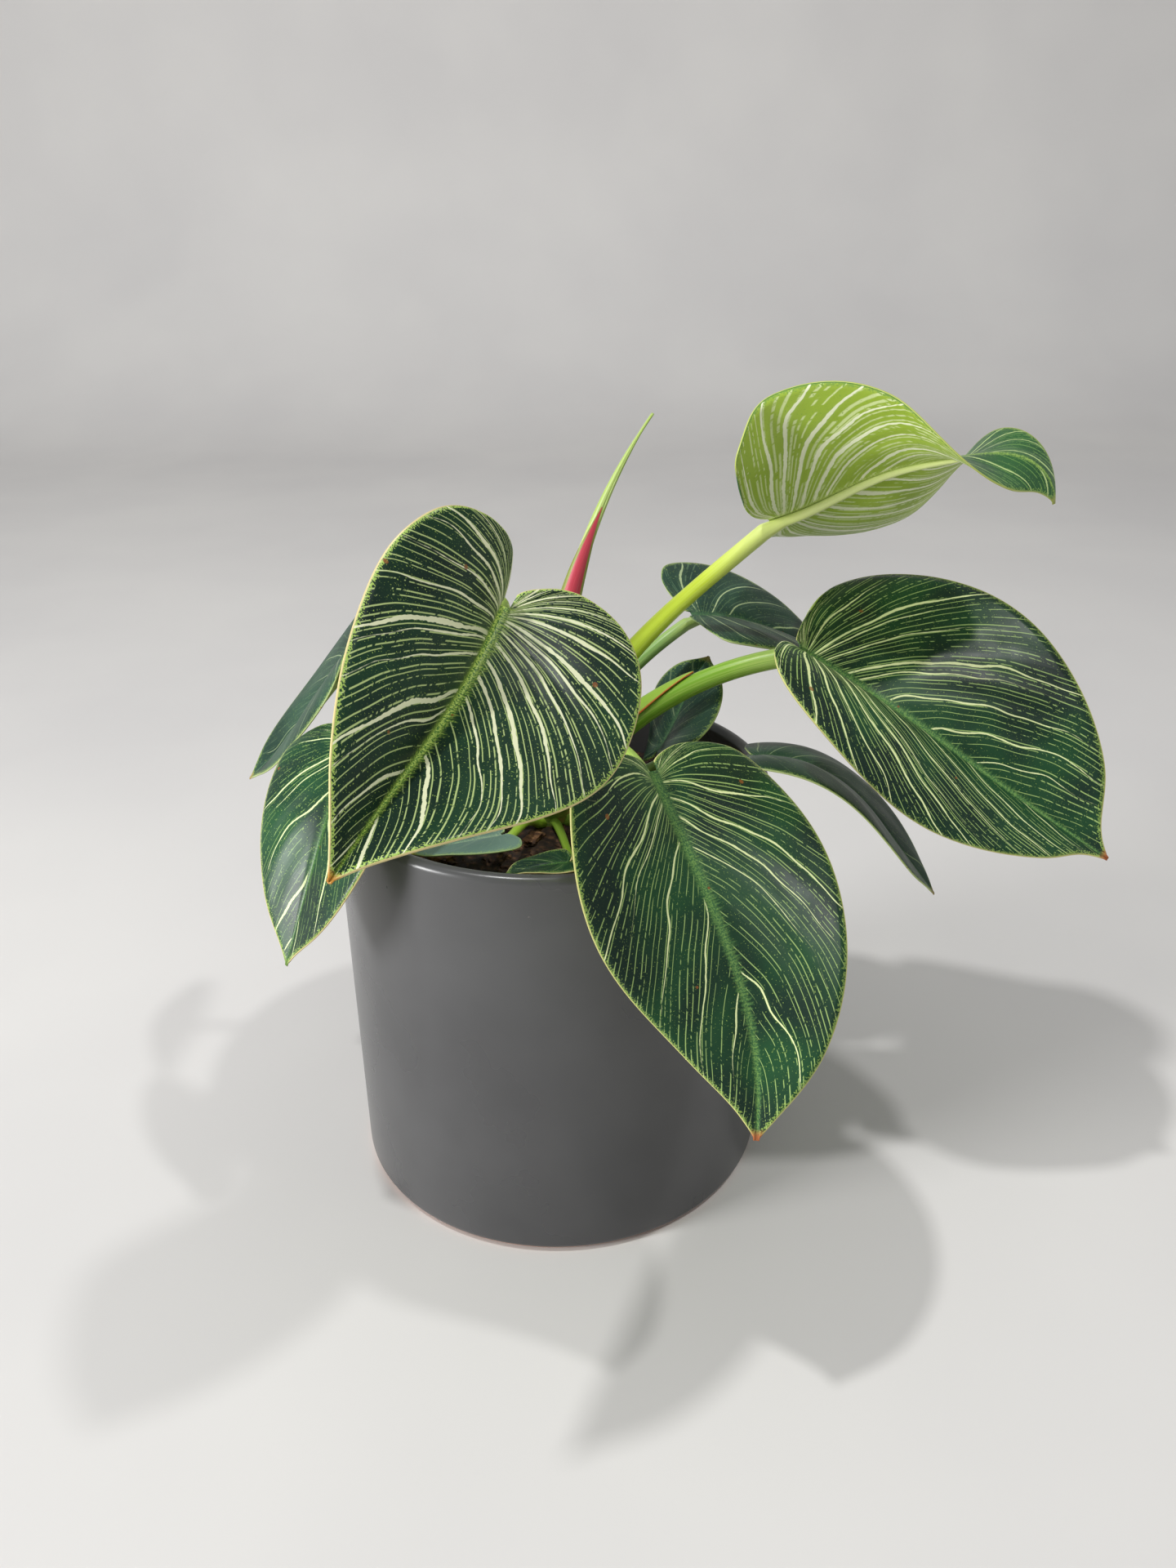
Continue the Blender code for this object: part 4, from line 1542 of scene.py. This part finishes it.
    def peat(self, name: str, dark: str, middle: str, pale: str) -> bpy.types.Material:
        """Damp organic crumb: rough and unlit in its gaps, with paler fibres 1 to 3 mm long.

        Args:
            name: the material's name.
            dark: its colour in the gaps.
            middle: its main colour.
            pale: its fibres.

        Returns:
            The material.
        """
        tree, shader = new_material(name, {"IOR": 1.45})
        node = partial(add_node, tree)
        spot = node("TexCoord").outputs["Object"]
        crumb = node("TexNoise", spot, 260.0, 8.0, 0.65)
        cells = node("TexVoronoi", spot, 300.0)
        both = node("Math.MULTIPLY_ADD", cells.outputs["Distance"], -0.55, crumb)
        stops = ((0.04, linear(dark)), (0.30, linear(middle)), (0.52, linear(pale)))
        tone = node("ValToRGB", both, stops=stops)
        rough = node("MapRange", crumb, 0.0, 1.0, 0.7, 1.0)
        bump = node("Bump", inputs={"Height": both, "Strength": 0.8, "Distance": 0.8 * MM})
        feed(tree, shader, {"Base Color": tone, "Roughness": rough, "Normal": bump})
        return bpy.data.materials[name]

    def dress_roots(self) -> None:
        """Gives the roots in the mix their own tan skin."""
        skin = StalkSkin("root_skin", "b39468", "a88a60", "a88a60", "8f6f45").build(on_object=True)
        for index in range(self.root_count):
            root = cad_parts[f"root_{index + 1}"]
            root.data.materials.clear()
            root.data.materials.append(skin)


# ---------------------------------------------------------------- pot


class Pot:
    """Straight-sided stoneware pot with a rounded lip and a narrow bare line at its foot."""

    sides = 256
    wall_steps = 24
    lip_run = 8 * MM
    floor_fillet = 3 * MM
    scuffed_heights = (150 * MM, 168 * MM)
    bare_heights = (3.2 * MM, 2.6 * MM)

    def build(self) -> None:
        """Makes the pot with its glaze."""
        lip = POT.wall / 2
        profile = [(0.0, 0.0)]
        profile += arc((POT.radius - POT.foot_fillet, POT.foot_fillet), POT.foot_fillet, -90, 0, 12)
        rise = (POT.height - 2 * lip) / self.wall_steps
        profile += [(POT.radius, POT.foot_fillet + rise * k) for k in range(1, self.wall_steps)]
        profile += arc((POT.radius - lip, POT.height - lip), lip, 0, 180, 24)
        inner, round_off = POT.radius - POT.wall, self.floor_fillet
        profile += [(inner, POT.height - lip - self.lip_run)]
        profile += arc((inner - round_off, POT.floor + round_off), round_off, 0, -90, 6)
        profile += [(0.0, POT.floor)]
        bm = turned(profile, self.sides)
        piece = finish_mesh(bm, "glazed_pot", 50)
        piece.data.materials.append(self.glaze())
        stand_for(piece, "glaze", "pot")

    def glaze(self) -> bpy.types.Material:
        """Charcoal matt glaze on stoneware: fine crystals make it satin, with a soft sheen.

        The glaze stops 2 mm above the foot and shows the tan body, and it is a little
        scuffed under the lip.

        Returns:
            The material.
        """
        tree, shader = new_material("charcoal_matt_glaze", {"IOR": 1.5})
        node = partial(add_node, tree)
        spot = node("TexCoord").outputs["Object"]
        height = node("SeparateXYZ", spot).outputs["Z"]
        cloud = node("TexNoise", spot, 14.0, 4.0)
        grain = node("TexNoise", spot, 900.0, 2.0)
        tone = node("ValToRGB", cloud, stops=((0.3, linear("444445")), (0.7, linear("505051"))))
        scuffs = node("MapRange", node("TexNoise", spot, 95.0, 5.0, 0.7), 0.70, 0.76)
        under_lip = node("MapRange.SMOOTHSTEP", height, *self.scuffed_heights)
        scuffed = node("Math.MULTIPLY", scuffs, under_lip)
        glazed = node("Mix.RGBA", scuffed, tone, linear("9a958e"))
        wander = node("Math.MULTIPLY_ADD", cloud, 1.6 * MM, height)
        bare = node("MapRange", wander, *self.bare_heights)
        colour = node("Mix.RGBA", bare, glazed, linear("b08a78"))
        rough = node("MapRange", cloud, 0.0, 1.0, 0.22, 0.34)
        bump = node("Bump", inputs={"Height": grain, "Strength": 0.08, "Distance": 0.1 * MM})
        feed(tree, shader, {"Base Color": colour, "Roughness": rough, "Normal": bump})
        return bpy.data.materials["charcoal_matt_glaze"]


# ---------------------------------------------------------------- studio


@dataclass(frozen=True)
class Lamp:
    """A soft lamp: the way to it, its width and power."""

    name: str
    way: tuple[float, float, float]
    width: float
    watts: float


class Studio:
    """Pale floor that sweeps up into a backdrop, soft lamps, and the camera."""

    lamps = (
        Lamp("key_lamp", (-0.2325, -0.1385, 1.0), 0.10, 12.8),
        Lamp("second_lamp", (0.391, -0.192, 1.0), 0.11, 8.2),
        Lamp("side_panel", (-1.0, -0.45, 0.28), 0.7, 38.0),
    )
    lamp_distance = 2.0
    fill = 0.38
    fill_tint = (0.97, 0.98, 1.0, 1.0)
    sheet_columns = 8
    sheet_rows = 60
    sheet_width = 7.0
    sheet_front = 2.5
    tilt = 25.65
    roll = -0.96
    camera_place = (0.01485, -0.47997, 0.4014)
    lens = 29.19

    def floor(self) -> None:
        """A pale sheet that runs flat under the pot and curves up well behind it."""
        bend, back, rise = 0.5, 1.6, 1.9

        def lay(column: int, row: int) -> Laid:
            """Place of one point of the sheet.

            Args:
                column: its column in the grid.
                row: its row in the grid.

            Returns:
                Its place and its attributes.
            """
            x = (column / self.sheet_columns - 0.5) * self.sheet_width
            whole = back + self.sheet_front + bend * math.pi / 2 + rise
            run = row / self.sheet_rows * whole - self.sheet_front
            if run < back:
                return Vector((x, run, 0.0)), {}
            turn = min((run - back) / bend, math.pi / 2)
            y = back + bend * math.sin(turn)
            z = bend * (1 - math.cos(turn)) + max(run - back - bend * math.pi / 2, 0.0)
            return Vector((x, y, z)), {}

        bm = lay_grid(self.sheet_columns, self.sheet_rows, lay)
        bmesh.ops.recalc_face_normals(bm, faces=bm.faces)
        sheet = finish_mesh(bm, "paper_floor", 80)
        tree, shader = new_material("matt_pale_paper", {"Roughness": 0.7, "IOR": 1.4})
        node = partial(add_node, tree)
        cloud = node("TexNoise", node("TexCoord").outputs["Object"], 3.0, 3.0)
        tone = node("ValToRGB", cloud, stops=((0.35, linear("d5d3d1")), (0.65, linear("dcdad7"))))
        feed(tree, shader, {"Base Color": tone})
        sheet.data.materials.append(bpy.data.materials["matt_pale_paper"])

    def light(self) -> None:
        """Two soft lamps above, left and right of the camera, and an even fill."""
        for lamp in self.lamps:
            data = bpy.data.lights.new(lamp.name, "AREA")
            data.shape = "DISK"
            data.size = lamp.width
            data.energy = lamp.watts
            light = bpy.data.objects.new(lamp.name, data)
            way = Vector(lamp.way).normalized()
            light.location = way * self.lamp_distance
            light.rotation_euler = way.to_track_quat("Z", "Y").to_euler()
            bpy.context.scene.collection.objects.link(light)
        world = bpy.data.worlds.new("even_fill")
        world.use_nodes = True
        sky = world.node_tree.nodes["Background"]
        sky.inputs["Color"].default_value = self.fill_tint
        sky.inputs["Strength"].default_value = self.fill
        bpy.context.scene.world = world

    def camera(self) -> None:
        """Looks down at the plant from in front."""
        tilt, roll = math.radians(self.tilt), math.radians(self.roll)
        right, up = Vector((1, 0, 0)), Vector((0, math.sin(tilt), math.cos(tilt)))
        ahead = Vector((0, math.cos(tilt), -math.sin(tilt)))
        x_axis = math.cos(roll) * right + math.sin(roll) * up
        y_axis = -math.sin(roll) * right + math.cos(roll) * up
        data = bpy.data.cameras.new("camera")
        data.lens = self.lens
        data.sensor_width = 36.0
        data.clip_start, data.clip_end = 0.01, 50.0
        camera = bpy.data.objects.new("camera", data)
        turn = Matrix((x_axis, y_axis, -ahead)).transposed().to_4x4()
        camera.matrix_world = Matrix.Translation(self.camera_place) @ turn
        bpy.context.scene.collection.objects.link(camera)
        bpy.context.scene.camera = camera

    def build(self) -> None:
        """Sets up floor, light and camera."""
        self.floor()
        self.light()
        self.camera()
        bpy.context.scene.view_settings.view_transform = "Standard"


# ---------------------------------------------------------------- all of it


def build_leaves() -> dict[str, Stalk]:
    """Makes every blade and stalk.

    Returns:
        The stalks by their leaf's name.
    """
    blades = {form.name: Blade(form) for form in BLADES}
    stalks = {}
    for form in STALKS:
        blade = blades[form.leaf]
        stand_for(blade.build(), "leaf", f"leaf_{form.leaf}")
        stalk = Stalk(form, blade)
        stand_for(stalk.build(), "stalk", f"petiole_{form.leaf}")
        stalks[form.leaf] = stalk
    return stalks


def build_sheaths(stalks: dict[str, Stalk]) -> None:
    """Wraps the two old sheaths round their stalks.

    Args:
        stalks: the stalks by their leaf's name.
    """
    for leaf, start, end in (("right", 0.22, 0.66), ("back_right", 0.18, 0.52)):
        points, radii = stalks[leaf].route(100)
        first, last = round(start * 100), round(end * 100)
        sheath = Sheath(f"clasping_sheath_{leaf}", f"sheath_{leaf}", GREEN_SHEATH, "stalk_sheath")
        line = [r + 0.95 * MM for r in radii[first : last + 1]]
        sheath.build(points[first : last + 1], line, 150, UP)


def write_size() -> None:
    """Updates the view layer."""
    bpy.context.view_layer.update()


def main() -> None:
    """Builds the studio, the pot, the mix and the plant in order."""
    logging.basicConfig(level=logging.INFO, format="%(message)s")
    Studio().build()
    Pot().build()
    ground = Ground()
    ground.build()
    ground.dress_roots()
    Stem().build()
    stalks = build_leaves()
    build_sheaths(stalks)
    NewLeaf().build()
    write_size()


if __name__ == "__main__":
    main()
